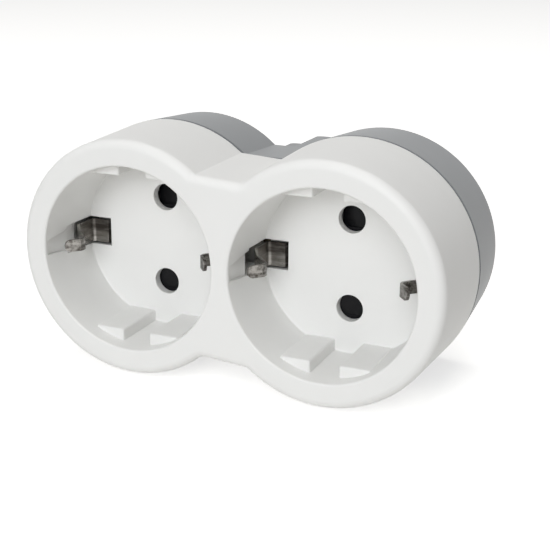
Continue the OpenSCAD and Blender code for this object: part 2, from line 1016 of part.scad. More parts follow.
module case_screw_right_bottom() {
  case_screw(right, bottom);
}

front_cover();
rear_cover();
shutter_left();
shutter_right();
shutter_spring_left();
shutter_spring_right();
shutter_retainer_left();
shutter_retainer_right();
earth_clip_left();
earth_clip_right();
earth_bar();
plug_earth_contact_left();
plug_earth_contact_right();
earth_rivet_left();
earth_rivet_right();
live_clip_left();
live_clip_right();
neutral_clip_left();
neutral_clip_right();
live_bus();
neutral_bus();
plug_pin_live();
plug_pin_neutral();
case_screw_left_top();
case_screw_left_bottom();
case_screw_right_top();
case_screw_right_bottom();
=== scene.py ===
"""Looks of a two way earthed socket adapter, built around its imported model.

The white front shell, the grey back shell, the plug pins, the bent earth clips, the
screws and the springs are modelled here with their rounded edges and bend radii. The
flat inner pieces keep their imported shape. Every surface gets a procedural finish.

Lengths are millimetres up to the moment a mesh is made. X runs along the two sockets,
depth runs back from the front face towards the plug pins, and Z is up.
"""

import logging
import math
from dataclasses import dataclass, field
from enum import Enum
from typing import ClassVar, Iterable, Sequence

import bmesh
import bpy
from mathutils import Matrix, Vector


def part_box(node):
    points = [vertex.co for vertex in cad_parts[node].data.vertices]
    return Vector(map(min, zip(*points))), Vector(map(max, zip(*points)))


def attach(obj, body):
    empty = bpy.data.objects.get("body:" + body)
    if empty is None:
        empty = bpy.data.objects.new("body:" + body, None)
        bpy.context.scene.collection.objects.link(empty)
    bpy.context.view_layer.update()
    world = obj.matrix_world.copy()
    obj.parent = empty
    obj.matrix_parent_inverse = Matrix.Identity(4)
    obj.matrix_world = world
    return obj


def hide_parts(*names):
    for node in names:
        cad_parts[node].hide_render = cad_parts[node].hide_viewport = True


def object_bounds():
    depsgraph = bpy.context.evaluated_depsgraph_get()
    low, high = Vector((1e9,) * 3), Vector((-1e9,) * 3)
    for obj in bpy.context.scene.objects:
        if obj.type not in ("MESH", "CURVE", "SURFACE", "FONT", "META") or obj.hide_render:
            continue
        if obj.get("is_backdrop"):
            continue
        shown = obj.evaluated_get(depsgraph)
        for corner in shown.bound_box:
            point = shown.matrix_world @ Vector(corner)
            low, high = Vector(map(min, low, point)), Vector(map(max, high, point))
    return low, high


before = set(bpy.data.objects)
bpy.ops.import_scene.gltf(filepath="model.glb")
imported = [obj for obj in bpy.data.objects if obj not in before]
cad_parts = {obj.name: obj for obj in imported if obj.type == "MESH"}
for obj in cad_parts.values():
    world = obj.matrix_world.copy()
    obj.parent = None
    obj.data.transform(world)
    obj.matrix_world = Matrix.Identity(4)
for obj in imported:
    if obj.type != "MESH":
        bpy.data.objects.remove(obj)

LOG = logging.getLogger("socket_adapter")
MM = 0.001

Flat = tuple[float, float]
Triple = tuple[float, float, float]
Ring = list[Vector]


class Body(Enum):
    """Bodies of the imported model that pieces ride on."""

    CASING = "casing"
    SHUTTER_LEFT = "shutter_left"
    SHUTTER_RIGHT = "shutter_right"


class Slot(Enum):
    """Material slots of the record."""

    WHITE = "white_plastic"
    GREY = "grey_plastic"
    BLACK = "black_plastic"
    NATURAL = "natural_plastic"
    SPRING = "spring_steel"
    BRASS = "brass"
    PLATED = "plated_brass"
    ZINC = "zinc_steel"


class Side(Enum):
    """The two sockets, seen from the front."""

    LEFT = -1
    RIGHT = 1

    @property
    def word(self) -> str:
        """Lower case name, as node names have it."""
        return self.name.lower()

    @property
    def body(self) -> Body:
        """Body of the shutter on this side."""
        return Body[f"SHUTTER_{self.name}"]


def middle(node: str) -> Vector:
    """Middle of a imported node's box.

    Args:
        node: Name of the node.

    Returns:
        The middle point in millimetres.
    """
    low, high = (Vector(corner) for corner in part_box(node))
    return (low + high) / (2 * MM)


def span(node: str) -> Vector:
    """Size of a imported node's box.

    Args:
        node: Name of the node.

    Returns:
        The three side lengths in millimetres.
    """
    low, high = (Vector(corner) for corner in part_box(node))
    return (high - low) / MM


@dataclass
class CaseSizes:
    """Sizes that both shells share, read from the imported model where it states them."""

    front_draft: float = 0.7
    shell_step: float = 0.05
    waist_drop: float = 6.3
    rim_w: float = 5.5
    case_wall: float = 2.2
    lip_h: float = 1.5
    pin_hole_r: float = 2.9
    screw_r: float = 1.5
    parting_r: float = field(init=False)
    lobe_r: float = field(init=False)
    waist_h: float = field(init=False)
    well_r: float = field(init=False)
    socket_x: float = field(init=False)
    front_depth: float = field(init=False)
    front_y: float = field(init=False)
    pin_z: float = field(init=False)
    screw_dx: float = field(init=False)
    screw_dz: float = field(init=False)

    def __post_init__(self) -> None:
        """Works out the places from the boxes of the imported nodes."""
        cover = span("front_cover")
        screw = middle("case_screw_right_top")
        self.parting_r = cover.z / 2
        self.lobe_r = self.parting_r - self.front_draft
        self.waist_h = self.lobe_r - self.waist_drop
        self.well_r = self.lobe_r - self.rim_w
        self.socket_x = cover.x / 2 - self.parting_r
        self.front_y = middle("front_cover").y - cover.y / 2
        rear_front = middle("rear_cover").y - span("rear_cover").y / 2
        self.front_depth = self.depth_of(rear_front) + self.lip_h
        self.pin_z = middle("plug_pin_live").z
        self.screw_dx = screw.x - self.socket_x
        self.screw_dz = screw.z

    @property
    def cavity_r(self) -> float:
        """Inner radius of a lobe."""
        return self.lobe_r - self.case_wall

    def depth_of(self, y: float) -> float:
        """Depth behind the front face of a place along Y."""
        return y - self.front_y

    def place(self, x: float, depth: float, z: float) -> Vector:
        """A point of the model in metres.

        Args:
            x: Place along the two sockets.
            depth: Distance behind the front face.
            z: Height.

        Returns:
            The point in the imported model's frame.
        """
        return Vector((x, self.front_y + depth, z)) * MM


SIZES = CaseSizes()
ROUND_STEPS = 160
SMALL_STEPS = 64
EDGE_STEPS = 8
OVERRUN = 1.0
RIGHT_ANGLE = math.pi / 2


def quarter(steps: int = EDGE_STEPS) -> list[Flat]:
    """Points of a quarter circle as sine and one minus cosine.

    Args:
        steps: Straight runs in the quarter.

    Returns:
        Pairs that run from (0, 0) to (1, 1).
    """
    turns = [RIGHT_ANGLE * i / steps for i in range(steps + 1)]
    return [(math.sin(turn), 1 - math.cos(turn)) for turn in turns]


def arc(cx: float, cz: float, radius: float, start: float, end: float, steps: int) -> list[Flat]:
    """Points along an arc.

    Args:
        cx: Middle, across.
        cz: Middle, up.
        radius: Radius of the arc.
        start: First angle in radians.
        end: Last angle in radians.
        steps: Straight runs in the arc.

    Returns:
        The points, both ends included.
    """
    angles = [start + (end - start) * i / steps for i in range(steps + 1)]
    return [(cx + radius * math.cos(a), cz + radius * math.sin(a)) for a in angles]


def rounded_rectangle(x0: float, x1: float, z0: float, z1: float, radius: float) -> list[Flat]:
    """Outline of a rectangle with round corners.

    Args:
        x0: Left side.
        x1: Right side.
        z0: Lower side.
        z1: Upper side.
        radius: Radius of the corners.

    Returns:
        The points, anticlockwise.
    """
    corners = [
        (x1 - radius, z0 + radius, -RIGHT_ANGLE), (x1 - radius, z1 - radius, 0.0),
        (x0 + radius, z1 - radius, RIGHT_ANGLE), (x0 + radius, z0 + radius, math.pi),
    ]
    points: list[Flat] = []
    for cx, cz, start in corners:
        points += arc(cx, cz, radius, start, start + RIGHT_ANGLE, EDGE_STEPS)
    return points


def twin_outline(lobe_r: float, waist_h: float, corner_r: float) -> list[Flat]:
    """Outline of the case: two lobes, a flat waist and hollow corners between them.

    Args:
        lobe_r: Radius of a lobe.
        waist_h: Half height of the waist.
        corner_r: Radius of the hollow corner where they meet.

    Returns:
        The points, anticlockwise from the right lobe's lower corner.
    """
    corner_z = waist_h + corner_r
    corner_x = SIZES.socket_x - math.sqrt((lobe_r + corner_r) ** 2 - corner_z ** 2)
    touch = math.atan2(corner_z, corner_x - SIZES.socket_x)
    lobe = arc(SIZES.socket_x, 0.0, lobe_r, -touch, touch, ROUND_STEPS)
    hollow = arc(corner_x, corner_z, corner_r, touch - math.pi, -RIGHT_ANGLE, EDGE_STEPS)
    upper_half = lobe + hollow[1:]
    return upper_half + [(-x, -z) for x, z in upper_half]


class Solid:
    """A closed mesh that other closed meshes are added to or cut from."""

    def __init__(self, mesh: bpy.types.Mesh) -> None:
        """Puts a mesh into the scene.

        Args:
            mesh: A closed mesh in metres.
        """
        self.object = bpy.data.objects.new(mesh.name, mesh)
        bpy.context.scene.collection.objects.link(self.object)

    @classmethod
    def lofted(cls, rings: Sequence[Ring]) -> "Solid":
        """Closes a skin over rings that hold the same number of points.

        Args:
            rings: Closed rings, from one end to the other.

        Returns:
            The solid.
        """
        shape = bmesh.new()
        loops = [[shape.verts.new(point) for point in ring] for ring in rings]
        for near, far in zip(loops, loops[1:]):
            for i, corner in enumerate(near):
                j = (i + 1) % len(near)
                shape.faces.new((corner, near[j], far[j], far[i]))
        shape.faces.new(loops[0])
        shape.faces.new(list(reversed(loops[-1])))
        bmesh.ops.recalc_face_normals(shape, faces=shape.faces)
        mesh = bpy.data.meshes.new("solid")
        shape.to_mesh(mesh)
        shape.free()
        return cls(mesh)

    @classmethod
    def stacked(cls, layers: Sequence[tuple[float, Sequence[Flat]]]) -> "Solid":
        """A solid through outlines that lie at different depths.

        Args:
            layers: Pairs of depth and outline across X and Z.

        Returns:
            The solid.
        """
        return cls.lofted([
            [SIZES.place(x, depth, z) for x, z in outline] for depth, outline in layers
        ])

    @classmethod
    def slab(cls, outline: Sequence[Flat], near: float, far: float) -> "Solid":
        """An outline across X and Z, filled between two depths."""
        return cls.stacked([(near, outline), (far, outline)])

    @classmethod
    def block(cls, x: Flat, z: Flat, near: float, far: float) -> "Solid":
        """A plain block between two places across, two heights and two depths."""
        corners = [(x[0], z[0]), (x[1], z[0]), (x[1], z[1]), (x[0], z[1])]
        return cls.slab(corners, near, far)

    @classmethod
    def turned(cls, profile: Sequence[Flat], x: float, z: float, steps: int) -> "Solid":
        """A profile of radius and depth, turned about an axis along Y.

        Args:
            profile: Pairs of radius and depth, from one end face to the other.
            x: Place of the axis across.
            z: Height of the axis.
            steps: Sides of the circle.

        Returns:
            The solid.
        """
        turn = 2 * math.pi / steps
        return cls.stacked([
            (depth, [
                (x + radius * math.cos(turn * i), z + radius * math.sin(turn * i))
                for i in range(steps)
            ])
            for radius, depth in profile
        ])

    @classmethod
    def rod(cls, radius: float, near: float, far: float, x: float, z: float,
            steps: int = SMALL_STEPS) -> "Solid":
        """A round bar along Y between two depths."""
        return cls.turned([(radius, near), (radius, far)], x, z, steps)

    def _combine(self, other: "Solid", operation: str) -> "Solid":
        """Joins or cuts another solid and uses it up.

        Args:
            other: The solid to add or to cut away.
            operation: UNION or DIFFERENCE.

        Returns:
            This solid, changed.
        """
        step = self.object.modifiers.new("combine", "BOOLEAN")
        step.operation = operation
        step.solver = "MANIFOLD"
        step.object = other.object
        self.settle()
        other.discard()
        return self

    def plus(self, *others: "Solid") -> "Solid":
        """Adds other solids.

        Args:
            others: Solids that are used up.

        Returns:
            This solid, changed.
        """
        for other in others:
            self._combine(other, "UNION")
        return self

    def minus(self, *others: "Solid") -> "Solid":
        """Cuts other solids away.

        Args:
            others: Solids that are used up.

        Returns:
            This solid, changed.
        """
        for other in others:
            self._combine(other, "DIFFERENCE")
        return self

    def settle(self) -> None:
        """Turns the modifiers into a plain mesh."""
        graph = bpy.context.evaluated_depsgraph_get()
        mesh = bpy.data.meshes.new_from_object(self.object.evaluated_get(graph))
        old = self.object.data
        self.object.modifiers.clear()
        self.object.data = mesh
        bpy.data.meshes.remove(old)

    def discard(self) -> None:
        """Takes the solid out of the scene."""
        mesh = self.object.data
        bpy.data.objects.remove(self.object)
        bpy.data.meshes.remove(mesh)


class Wire:
    """A node socket that adds Math nodes when it stands in a sum."""

    def __init__(self, bench: "Bench", socket: bpy.types.NodeSocket) -> None:
        """Keeps a socket and the bench that its nodes are made on."""
        self.bench = bench
        self.socket = socket

    def _math(self, operation: str, first: "Value", second: "Value") -> "Wire":
        """One Math node on two values."""
        return self.bench.node("ShaderNodeMath", {"operation": operation}, {0: first, 1: second})

    def __add__(self, other: "Value") -> "Wire":
        """Sum."""
        return self._math("ADD", self, other)

    def __sub__(self, other: "Value") -> "Wire":
        """Difference."""
        return self._math("SUBTRACT", self, other)

    def __rsub__(self, other: "Value") -> "Wire":
        """Difference from a number."""
        return self._math("SUBTRACT", other, self)

    def __mul__(self, other: "Value") -> "Wire":
        """Product."""
        return self._math("MULTIPLY", self, other)

    def __truediv__(self, other: "Value") -> "Wire":
        """Quotient."""
        return self._math("DIVIDE", self, other)

    def __pow__(self, other: "Value") -> "Wire":
        """Power."""
        return self._math("POWER", self, other)

    __radd__ = __add__
    __rmul__ = __mul__

    def least(self, other: "Value") -> "Wire":
        """The smaller of two values."""
        return self._math("MINIMUM", self, other)

    def most(self, other: "Value") -> "Wire":
        """The larger of two values."""
        return self._math("MAXIMUM", self, other)


Value = float | tuple | bpy.types.Material | Wire


class Bench:
    """Makes and links the nodes of one shader or geometry tree."""

    def __init__(self, tree: bpy.types.NodeTree) -> None:
        """Starts on an empty tree."""
        self.tree = tree
        tree.nodes.clear()

    def node(self, kind: str, settings: dict[str, object] | None = None,
             sockets: dict[str | int, Value] | None = None, output: str | int = 0) -> Wire:
        """Makes one node, sets it and links it.

        Args:
            kind: Blender's name for the node type.
            settings: Properties, which are set first.
            sockets: Values or links by socket name or number.
            output: Name or number of the output that is handed back.

        Returns:
            The chosen output.
        """
        made = self.tree.nodes.new(kind)
        for key, value in (settings or {}).items():
            setattr(made, key, value)
        for key, value in (sockets or {}).items():
            if isinstance(value, Wire):
                self.tree.links.new(value.socket, made.inputs[key])
            else:
                made.inputs[key].default_value = value
        return Wire(self, made.outputs[output] if len(made.outputs) else made.inputs[0])

    def other(self, wire: Wire, output: str | int) -> Wire:
        """Another output of the node that a wire comes from."""
        return Wire(self, wire.socket.node.outputs[output])


BEVEL_SAMPLES = 6
NOISE_MIDDLE = 0.5


@dataclass(frozen=True)
class Finish:
    """A surface finish that one material shows."""

    name: str
    slot: Slot
    colour: Triple
    roughness: float

    def material(self) -> bpy.types.Material:
        """The finish as a material, made the first time it is asked for.

        Returns:
            The material.
        """
        known = bpy.data.materials.get(self.name)
        if known:
            return known
        made = bpy.data.materials.new(self.name)
        made.use_nodes = True
        bench = Bench(made.node_tree)
        shader = self.surface(bench)
        bench.node("ShaderNodeOutputMaterial", None, {"Surface": shader})
        return made

    def surface(self, bench: Bench) -> Wire:
        """Nodes of the surface shader."""
        raise NotImplementedError

    @staticmethod
    def where(bench: Bench, stretch: Triple = (1.0, 1.0, 1.0)) -> Wire:
        """Object coordinates in millimetres, stretched along each axis.

        Args:
            bench: Bench to make the nodes on.
            stretch: Factor on each axis.

        Returns:
            The coordinates.
        """
        spot = bench.node("ShaderNodeTexCoord", None, None, "Object")
        scale = tuple(part / MM for part in stretch)
        return bench.node("ShaderNodeMapping", None, {"Vector": spot, "Scale": scale})

    @staticmethod
    def noise(bench: Bench, spot: Wire, scale: float, detail: float = 2.0) -> Wire:
        """Smooth noise between 0 and 1.

        Args:
            bench: Bench to make the nodes on.
            spot: Coordinates.
            scale: Cells in a millimetre.
            detail: Octaves.

        Returns:
            The noise value.
        """
        return bench.node("ShaderNodeTexNoise", None,
                          {"Vector": spot, "Scale": scale, "Detail": detail})

    @staticmethod
    def tint(bench: Bench, low: Triple, high: Triple, share: Wire) -> Wire:
        """A colour between two colours."""
        return bench.node("ShaderNodeMix", {"data_type": "RGBA"},
                          {0: share, 6: (*low, 1.0), 7: (*high, 1.0)}, 2)

    @staticmethod
    def rise(bench: Bench, value: Wire, start: float, end: float, top: float = 1.0) -> Wire:
        """A smooth step up from nought.

        Args:
            bench: Bench to make the nodes on.
            value: What the step is read from.
            start: Value at which it starts.
            end: Value at which it ends.
            top: What it reaches.

        Returns:
            The step.
        """
        return bench.node("ShaderNodeMapRange", {"interpolation_type": "SMOOTHSTEP"}, {
            "Value": value, "From Min": start, "From Max": end, "To Max": top,
        })


@dataclass(frozen=True)
class MouldedPlastic(Finish):
    """Injection moulded plastic with a fine eroded skin and softened edges."""

    mottle: float = 0.03
    grain: float = 9.0
    grain_depth: float = 0.004
    edge_r: float = 0.18
    shine: float = 0.5
    cloud_scale: float = 0.06
    cloud_share: float = 0.6
    cloud_rough: float = 0.10
    grain_rough: float = 0.12
    flow_scale: float = 0.35
    flow_stretch: Triple = (0.08, 0.5, 0.5)

    def surface(self, bench: Bench) -> Wire:
        """Nodes of the plastic.

        Args:
            bench: Bench to make the nodes on.

        Returns:
            The shader.
        """
        spot = self.where(bench)
        cloud = self.noise(bench, spot, self.cloud_scale, detail=3.0)
        grain = self.noise(bench, spot, self.grain)
        flow = self.noise(bench, self.where(bench, self.flow_stretch), self.flow_scale)
        dark = tuple(part * (1 - self.mottle) for part in self.colour)
        light = tuple(min(1.0, part * (1 + self.mottle)) for part in self.colour)
        share = cloud * self.cloud_share + flow * (1 - self.cloud_share)
        shade = self.tint(bench, dark, light, share)
        rough = ((cloud - NOISE_MIDDLE) * self.cloud_rough
                 + (grain - NOISE_MIDDLE) * self.grain_rough + self.roughness)
        edge = bench.node("ShaderNodeBevel", {"samples": BEVEL_SAMPLES},
                          {"Radius": self.edge_r * MM})
        skin = bench.node("ShaderNodeBump", None, {
            "Strength": 1.0, "Distance": self.grain_depth * MM, "Height": grain, "Normal": edge,
        })
        return bench.node("ShaderNodeBsdfPrincipled", None, {
            "Base Color": shade, "Roughness": rough, "Normal": skin,
            "Specular IOR Level": self.shine,
        })


@dataclass(frozen=True)
class WorkedMetal(Finish):
    """Rolled, drawn or plated metal with streaks along its working direction."""

    streak: Triple = (0.05, 1.0, 1.0)
    streak_scale: float = 6.0
    streak_share: float = 0.2
    streak_depth: float = 0.004
    tarnish: Triple = (0.2, 0.17, 0.14)
    tarnish_share: float = 0.35
    edge_r: float = 0.08
    streak_rough: float = 0.3
    stain_rough: float = 0.15
    stain_scale: float = 0.45
    stain_start: float = 0.4
    stain_end: float = 0.75

    def surface(self, bench: Bench) -> Wire:
        """Nodes of the metal.

        Args:
            bench: Bench to make the nodes on.

        Returns:
            The shader.
        """
        streaks = self.noise(bench, self.where(bench, self.streak), self.streak_scale,
                             detail=4.0)
        stain_and_shade = self.stain_and_shade(bench)
        share = stain_and_shade + (streaks - NOISE_MIDDLE) * self.streak_share
        shade = self.tint(bench, self.colour, self.tarnish, share)
        rough = ((streaks - NOISE_MIDDLE) * self.streak_rough + stain_and_shade * self.stain_rough
                 + self.roughness)
        edge = bench.node("ShaderNodeBevel", {"samples": BEVEL_SAMPLES},
                          {"Radius": self.edge_r * MM})
        skin = bench.node("ShaderNodeBump", None, {
            "Strength": 1.0, "Distance": self.streak_depth * MM, "Height": streaks,
            "Normal": edge,
        })
        return bench.node("ShaderNodeBsdfPrincipled", None, {
            "Base Color": shade, "Roughness": rough, "Metallic": 1.0, "Normal": skin,
        })

    def stain_and_shade(self, bench: Bench) -> Wire:
        """Share of tarnish over the surface; the clip strip's finish adds painted shade to it.

        Args:
            bench: Bench to make the nodes on.

        Returns:
            The share, from 0 to the finish's own share.
        """
        cloud = self.noise(bench, self.where(bench), self.stain_scale, detail=3.0)
        return self.rise(bench, cloud, self.stain_start, self.stain_end, self.tarnish_share)


@dataclass(frozen=True)
class WornStripWithPaintedShade(WorkedMetal):
    """Spring strip whose free end is scuffed by plugs, with shade painted into its colour where
    its folds lie in shadow.
    """

    scuffed_depth: float = 8.0
    clean_depth: float = 12.0
    scuff_share: float = 0.45
    even_share: float = 0.22
    # Depths over which painted shade darkens the bend behind the floor, and how strongly.
    fold_start: float = 17.8
    fold_end: float = 18.05
    fold_shade_share: float = 0.7
    # Painted shade on the wall corner: from this depth on, rising between the two heights, so that
    # only the lower half keeps its shine.
    corner_start: float = 16.2
    corner_shade_share: float = 0.7
    corner_shade_low: float = -0.6
    corner_shade_high: float = 0.8
    patch_scale: float = 1.4
    patch_start: float = 0.42
    patch_end: float = 0.62

    def stain_and_shade(self, bench: Bench) -> Wire:
        """Share of tarnish and painted shade: scuffs at the free end, clean in the wall, painted
        shade at the bend behind the floor and on the upper half of the wall corner.

        Args:
            bench: Bench to make the nodes on.

        Returns:
            The share.
        """
        place = bench.node("ShaderNodeSeparateXYZ", None, {0: self.where(bench)}, "Y")
        height = bench.other(place, "Z")
        front = SIZES.front_y
        clean = self.rise(bench, place, front + self.scuffed_depth, front + self.clean_depth)
        # Painted shade: the bend behind the floor is darkened as if it lay in shadow.
        fold_shade = self.rise(bench, place, front + self.fold_start, front + self.fold_end)
        # Painted shade: the upper half of the wall corner is darkened, so its shine stays only in
        # the lower half.
        corner = self.rise(bench, place, front + self.corner_start, front + self.fold_start)
        upper = self.rise(bench, height, self.corner_shade_low, self.corner_shade_high)
        patches = self.noise(bench, self.where(bench), self.patch_scale, detail=3.0)
        scuffs = self.rise(bench, patches, self.patch_start, self.patch_end, self.scuff_share)
        share = super().stain_and_shade(bench) + scuffs * (1 - clean) + self.even_share
        return (share + corner * upper * self.corner_shade_share + fold_shade * self.fold_shade_share).least(1.0)


WHITE = MouldedPlastic("white_moulding", Slot.WHITE, (0.9, 0.897, 0.88), 0.42, mottle=0.02,
                       shine=0.3)
GREY = MouldedPlastic("grey_moulding", Slot.GREY, (0.275, 0.285, 0.295), 0.42)
BLACK = MouldedPlastic("black_moulding", Slot.BLACK, (0.006, 0.006, 0.007), 0.2,
                       mottle=0.15, grain=2.0, grain_depth=0.006, shine=0.12)
NATURAL = MouldedPlastic("natural_moulding", Slot.NATURAL, (0.72, 0.71, 0.68), 0.45)
# Strip of the earth clips: tarnish clouds and scuffs, plus painted shade at its bends.
SPRING_STRIP = WornStripWithPaintedShade("spring_strip", Slot.SPRING, (0.37, 0.356, 0.335), 0.27,
                         streak=(0.12, 0.12, 1.0), streak_scale=1.3, streak_share=2.0,
                         streak_depth=0.06, tarnish=(0.07, 0.062, 0.055),
                         tarnish_share=0.3)
SPRING_WIRE = WorkedMetal("spring_wire", Slot.SPRING, (0.62, 0.62, 0.62), 0.25)
BRASS_STRIP = WorkedMetal("brass_strip", Slot.BRASS, (0.75, 0.55, 0.24), 0.28)
# Painted shade: brass made very dark so that the earth bar reads as lying in shadow inside the
# case.
SHADE_DARKENED_BRASS = WorkedMetal("shade_darkened_brass", Slot.BRASS, (0.16, 0.13, 0.08), 0.45,
                        tarnish=(0.06, 0.05, 0.035), tarnish_share=0.5)
NICKEL = WorkedMetal("nickel_plate", Slot.PLATED, (0.66, 0.65, 0.62), 0.2,
                     streak=(1.0, 0.05, 1.0), tarnish=(0.42, 0.40, 0.36), tarnish_share=0.25)
ZINC = WorkedMetal("zinc_plate", Slot.ZINC, (0.60, 0.61, 0.63), 0.3,
                   tarnish=(0.36, 0.36, 0.38), tarnish_share=0.3)


SHARP_ANGLE = math.radians(32)


def finished(solid: Solid, name: str, finish: Finish, body: Body,
             nodes: Iterable[str], sharp: float = SHARP_ANGLE) -> bpy.types.Object:
    """Shades a solid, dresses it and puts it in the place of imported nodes.

    Args:
        solid: The finished shape.
        name: Name of the piece.
        finish: Finish of its surface.
        body: Body that it rides on.
        nodes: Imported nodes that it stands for.
        sharp: Edges over this angle stay crisp.

    Returns:
        The piece.
    """
    piece = solid.object
    piece.name = name
    piece.data.name = name
    piece.data.shade_smooth()
    piece.data.set_sharp_from_angle(angle=sharp)
    weights = piece.modifiers.new("weights", "WEIGHTED_NORMAL")
    weights.keep_sharp = True
    solid.settle()
    piece.data.name = name
    piece.data.materials.clear()
    piece.data.materials.append(finish.material())
    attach(piece, body.value)
    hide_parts(*nodes)
    LOG.info("%s rides on %s for %s", name, body.value, ", ".join(nodes))
    return piece


BROW_STEPS = 16


@dataclass
class FrontShell:
    """White front shell: both wells, their ribs and slots, and the posts behind them."""

    edge_r: float = 2.0
    corner_r: float = 3.0
    parting_edge_r: float = 0.15
    face_t: float = 2.2
    cavity_corner_r: float = 0.5
    well_depth: float = 17.5
    well_draft: float = 0.2
    mouth_edge_r: float = 0.5
    floor_edge_r: float = 0.3
    cup_wall: float = 2.0
    floor_t: float = 2.0
    rib_in: float = 3.1
    rib_out: float = 9.7
    rib_h: float = 2.9
    rib_front: float = 3.7
    rib_edge_r: float = 0.45
    rib_corner_share: float = 0.9
    slot_reach: float = 5.7
    slot_h: float = 3.15
    pocket_len: float = 8.0
    pocket_over: float = 0.8
    brow_len: float = 9.3
    brow_r: float = 14.0
    channel_front: float = 1.0
    channel_d: float = 0.55
    channel_near_h: float = 1.6
    channel_far_h: float = 2.8
    channel_reach: float = 3.0
    hole_edge_r: float = 0.15
    web_w: float = 3.5
    web_h: float = 12.0
    post_r: float = 2.0
    post_tip_r: float = 1.2
    stud_r: float = 1.8
    stud_tip_r: float = 1.1
    boss_r: float = 3.0
    boss_end: float = 30.0
    screw_tip: float = 21.0
    post_end: float = 22.9
    tip_end: float = 24.6
    thread_gap: float = 0.05

    @property
    def floor_back(self) -> float:
        """Depth of the floor's back face."""
        return self.well_depth + self.floor_t

    def outer(self) -> Solid:
        """Outside of the shell with its rounded front edge and its draft.

        Returns:
            The solid block.
        """
        layers = []
        for rise, back in quarter():
            grow = -self.edge_r * (1 - rise)
            layers.append((self.edge_r * back, grow))
        edge = self.parting_edge_r
        for rise, back in quarter(3):
            layers.append((SIZES.front_depth - edge * (1 - rise),
                           SIZES.front_draft - edge * back))
        return Solid.stacked([
            (depth, twin_outline(SIZES.lobe_r + grow, SIZES.waist_h + grow,
                                 self.corner_r - grow))
            for depth, grow in layers
        ])

    def cavity(self) -> Solid:
        """Hollow behind the front face.

        Returns:
            The space as a solid.
        """
        outline = twin_outline(SIZES.cavity_r, SIZES.waist_h - SIZES.case_wall,
                               self.cavity_corner_r)
        return Solid.slab(outline, self.face_t, SIZES.front_depth + OVERRUN)

    def well(self, x: float) -> Solid:
        """Space of one well, with its rounded mouth and floor corner.

        Args:
            x: Place of the socket's axis.

        Returns:
            The space as a solid.
        """
        mouth, floor = self.mouth_edge_r, self.floor_edge_r
        profile = [(SIZES.well_r + mouth, -OVERRUN)]
        profile += [
            (SIZES.well_r + mouth * (1 - rise), mouth * back) for rise, back in quarter()
        ]
        floor_r = SIZES.well_r - self.well_draft
        profile += [
            (floor_r - floor * back, self.well_depth - floor * (1 - rise))
            for rise, back in quarter(4)
        ]
        return Solid.turned(profile, x, 0.0, ROUND_STEPS)

    def rib(self, x: float, side: int, end: int) -> Solid:
        """One guide rib with a rounded front and rounded long edges.

        Args:
            x: Place of the socket's axis.
            side: Side of the axis, -1 or 1.
            end: Lower or upper, -1 or 1.

        Returns:
            The rib.
        """
        near_x, far_x = sorted((side * self.rib_in, side * self.rib_out))
        low, high = sorted((end * (SIZES.well_r - self.rib_h),
                            end * (SIZES.well_r + self.cup_wall)))
        edge = self.rib_edge_r
        layers = []
        for rise, back in quarter(5):
            inset = edge * (1 - rise)
            layers.append((self.rib_front + edge * back, inset))
        layers.append((self.well_depth + OVERRUN, 0.0))
        return Solid.stacked([
            (depth, rounded_rectangle(
                x + near_x + inset, x + far_x - inset, low + inset, high - inset,
                edge - inset * self.rib_corner_share))
            for depth, inset in layers
        ])

    def clip_slot(self, x: float, side: int) -> list[Solid]:
        """Floor slot, wall pocket and shallow channel for one arm of the earth clip.

        Args:
            x: Place of the socket's axis.
            side: Side of the axis, -1 or 1.

        Returns:
            The spaces to cut.
        """
        inner = SIZES.well_r - self.slot_reach
        outer = SIZES.well_r + self.cup_wall + self.pocket_over
        front = self.well_depth - self.pocket_len
        outwards = side * x > 0
        across = sorted((x + side * inner, x + side * outer))
        pocket = Solid.block((across[0], across[1]), (-self.slot_h, self.slot_h),
                             self.well_depth - self.brow_len if outwards else front,
                             self.floor_back + OVERRUN)
        if outwards:
            pocket.minus(self.pocket_brow(x, side))
        end = self.brow_depth(self.channel_d) if outwards else front + OVERRUN
        section = [
            (self.channel_front, self.channel_near_h), (self.channel_front, -self.channel_near_h),
            (end, -self.channel_far_h), (end, self.channel_far_h),
        ]
        channel = Solid.lofted([
            [SIZES.place(x + side * reach, depth, z) for depth, z in section]
            for reach in (SIZES.well_r - self.channel_reach, SIZES.well_r + self.channel_d)
        ])
        return [pocket, channel]

    def brow_depth(self, sunk: float) -> float:
        """Depth at which the brow's curve lies that far behind the well's wall.

        Args:
            sunk: Distance from the wall's surface.

        Returns:
            The depth behind the face.
        """
        turn = math.acos(1 - sunk / self.brow_r)
        return self.well_depth - self.brow_len + self.brow_r * math.sin(turn)

    def pocket_brow(self, x: float, side: int) -> Solid:
        """Long curve by which the well's wall turns into an outer pocket.

        Args:
            x: Place of the socket's axis.
            side: Side of the axis, -1 or 1.

        Returns:
            The solid that stays in front of the pocket.
        """
        start = self.well_depth - self.brow_len
        far = SIZES.well_r + self.cup_wall + self.pocket_over + OVERRUN
        end_turn = math.acos(1 - (far - SIZES.well_r) / self.brow_r)
        turns = [end_turn * i / BROW_STEPS for i in range(BROW_STEPS + 1)]
        curve = [(SIZES.well_r + self.brow_r * (1 - math.cos(turn)),
                  start + self.brow_r * math.sin(turn)) for turn in turns]
        curve += [(far, start - OVERRUN), (SIZES.well_r, start - OVERRUN)]
        height = self.slot_h + OVERRUN
        return Solid.lofted([
            [SIZES.place(x + side * reach, depth, z) for reach, depth in curve]
            for z in (-height, height)
        ])

    def pin_hole(self, x: float, z: float) -> Solid:
        """Space of one pin hole, with a softened mouth.

        Args:
            x: Place of its axis.
            z: Height of its axis.

        Returns:
            The space as a solid.
        """
        edge = self.hole_edge_r
        profile = [(SIZES.pin_hole_r + edge, self.well_depth - OVERRUN)]
        profile += [
            (SIZES.pin_hole_r + edge * (1 - rise), self.well_depth + edge * back)
            for rise, back in quarter(3)
        ]
        profile.append((SIZES.pin_hole_r, self.floor_back + OVERRUN))
        return Solid.turned(profile, x, z, SMALL_STEPS)

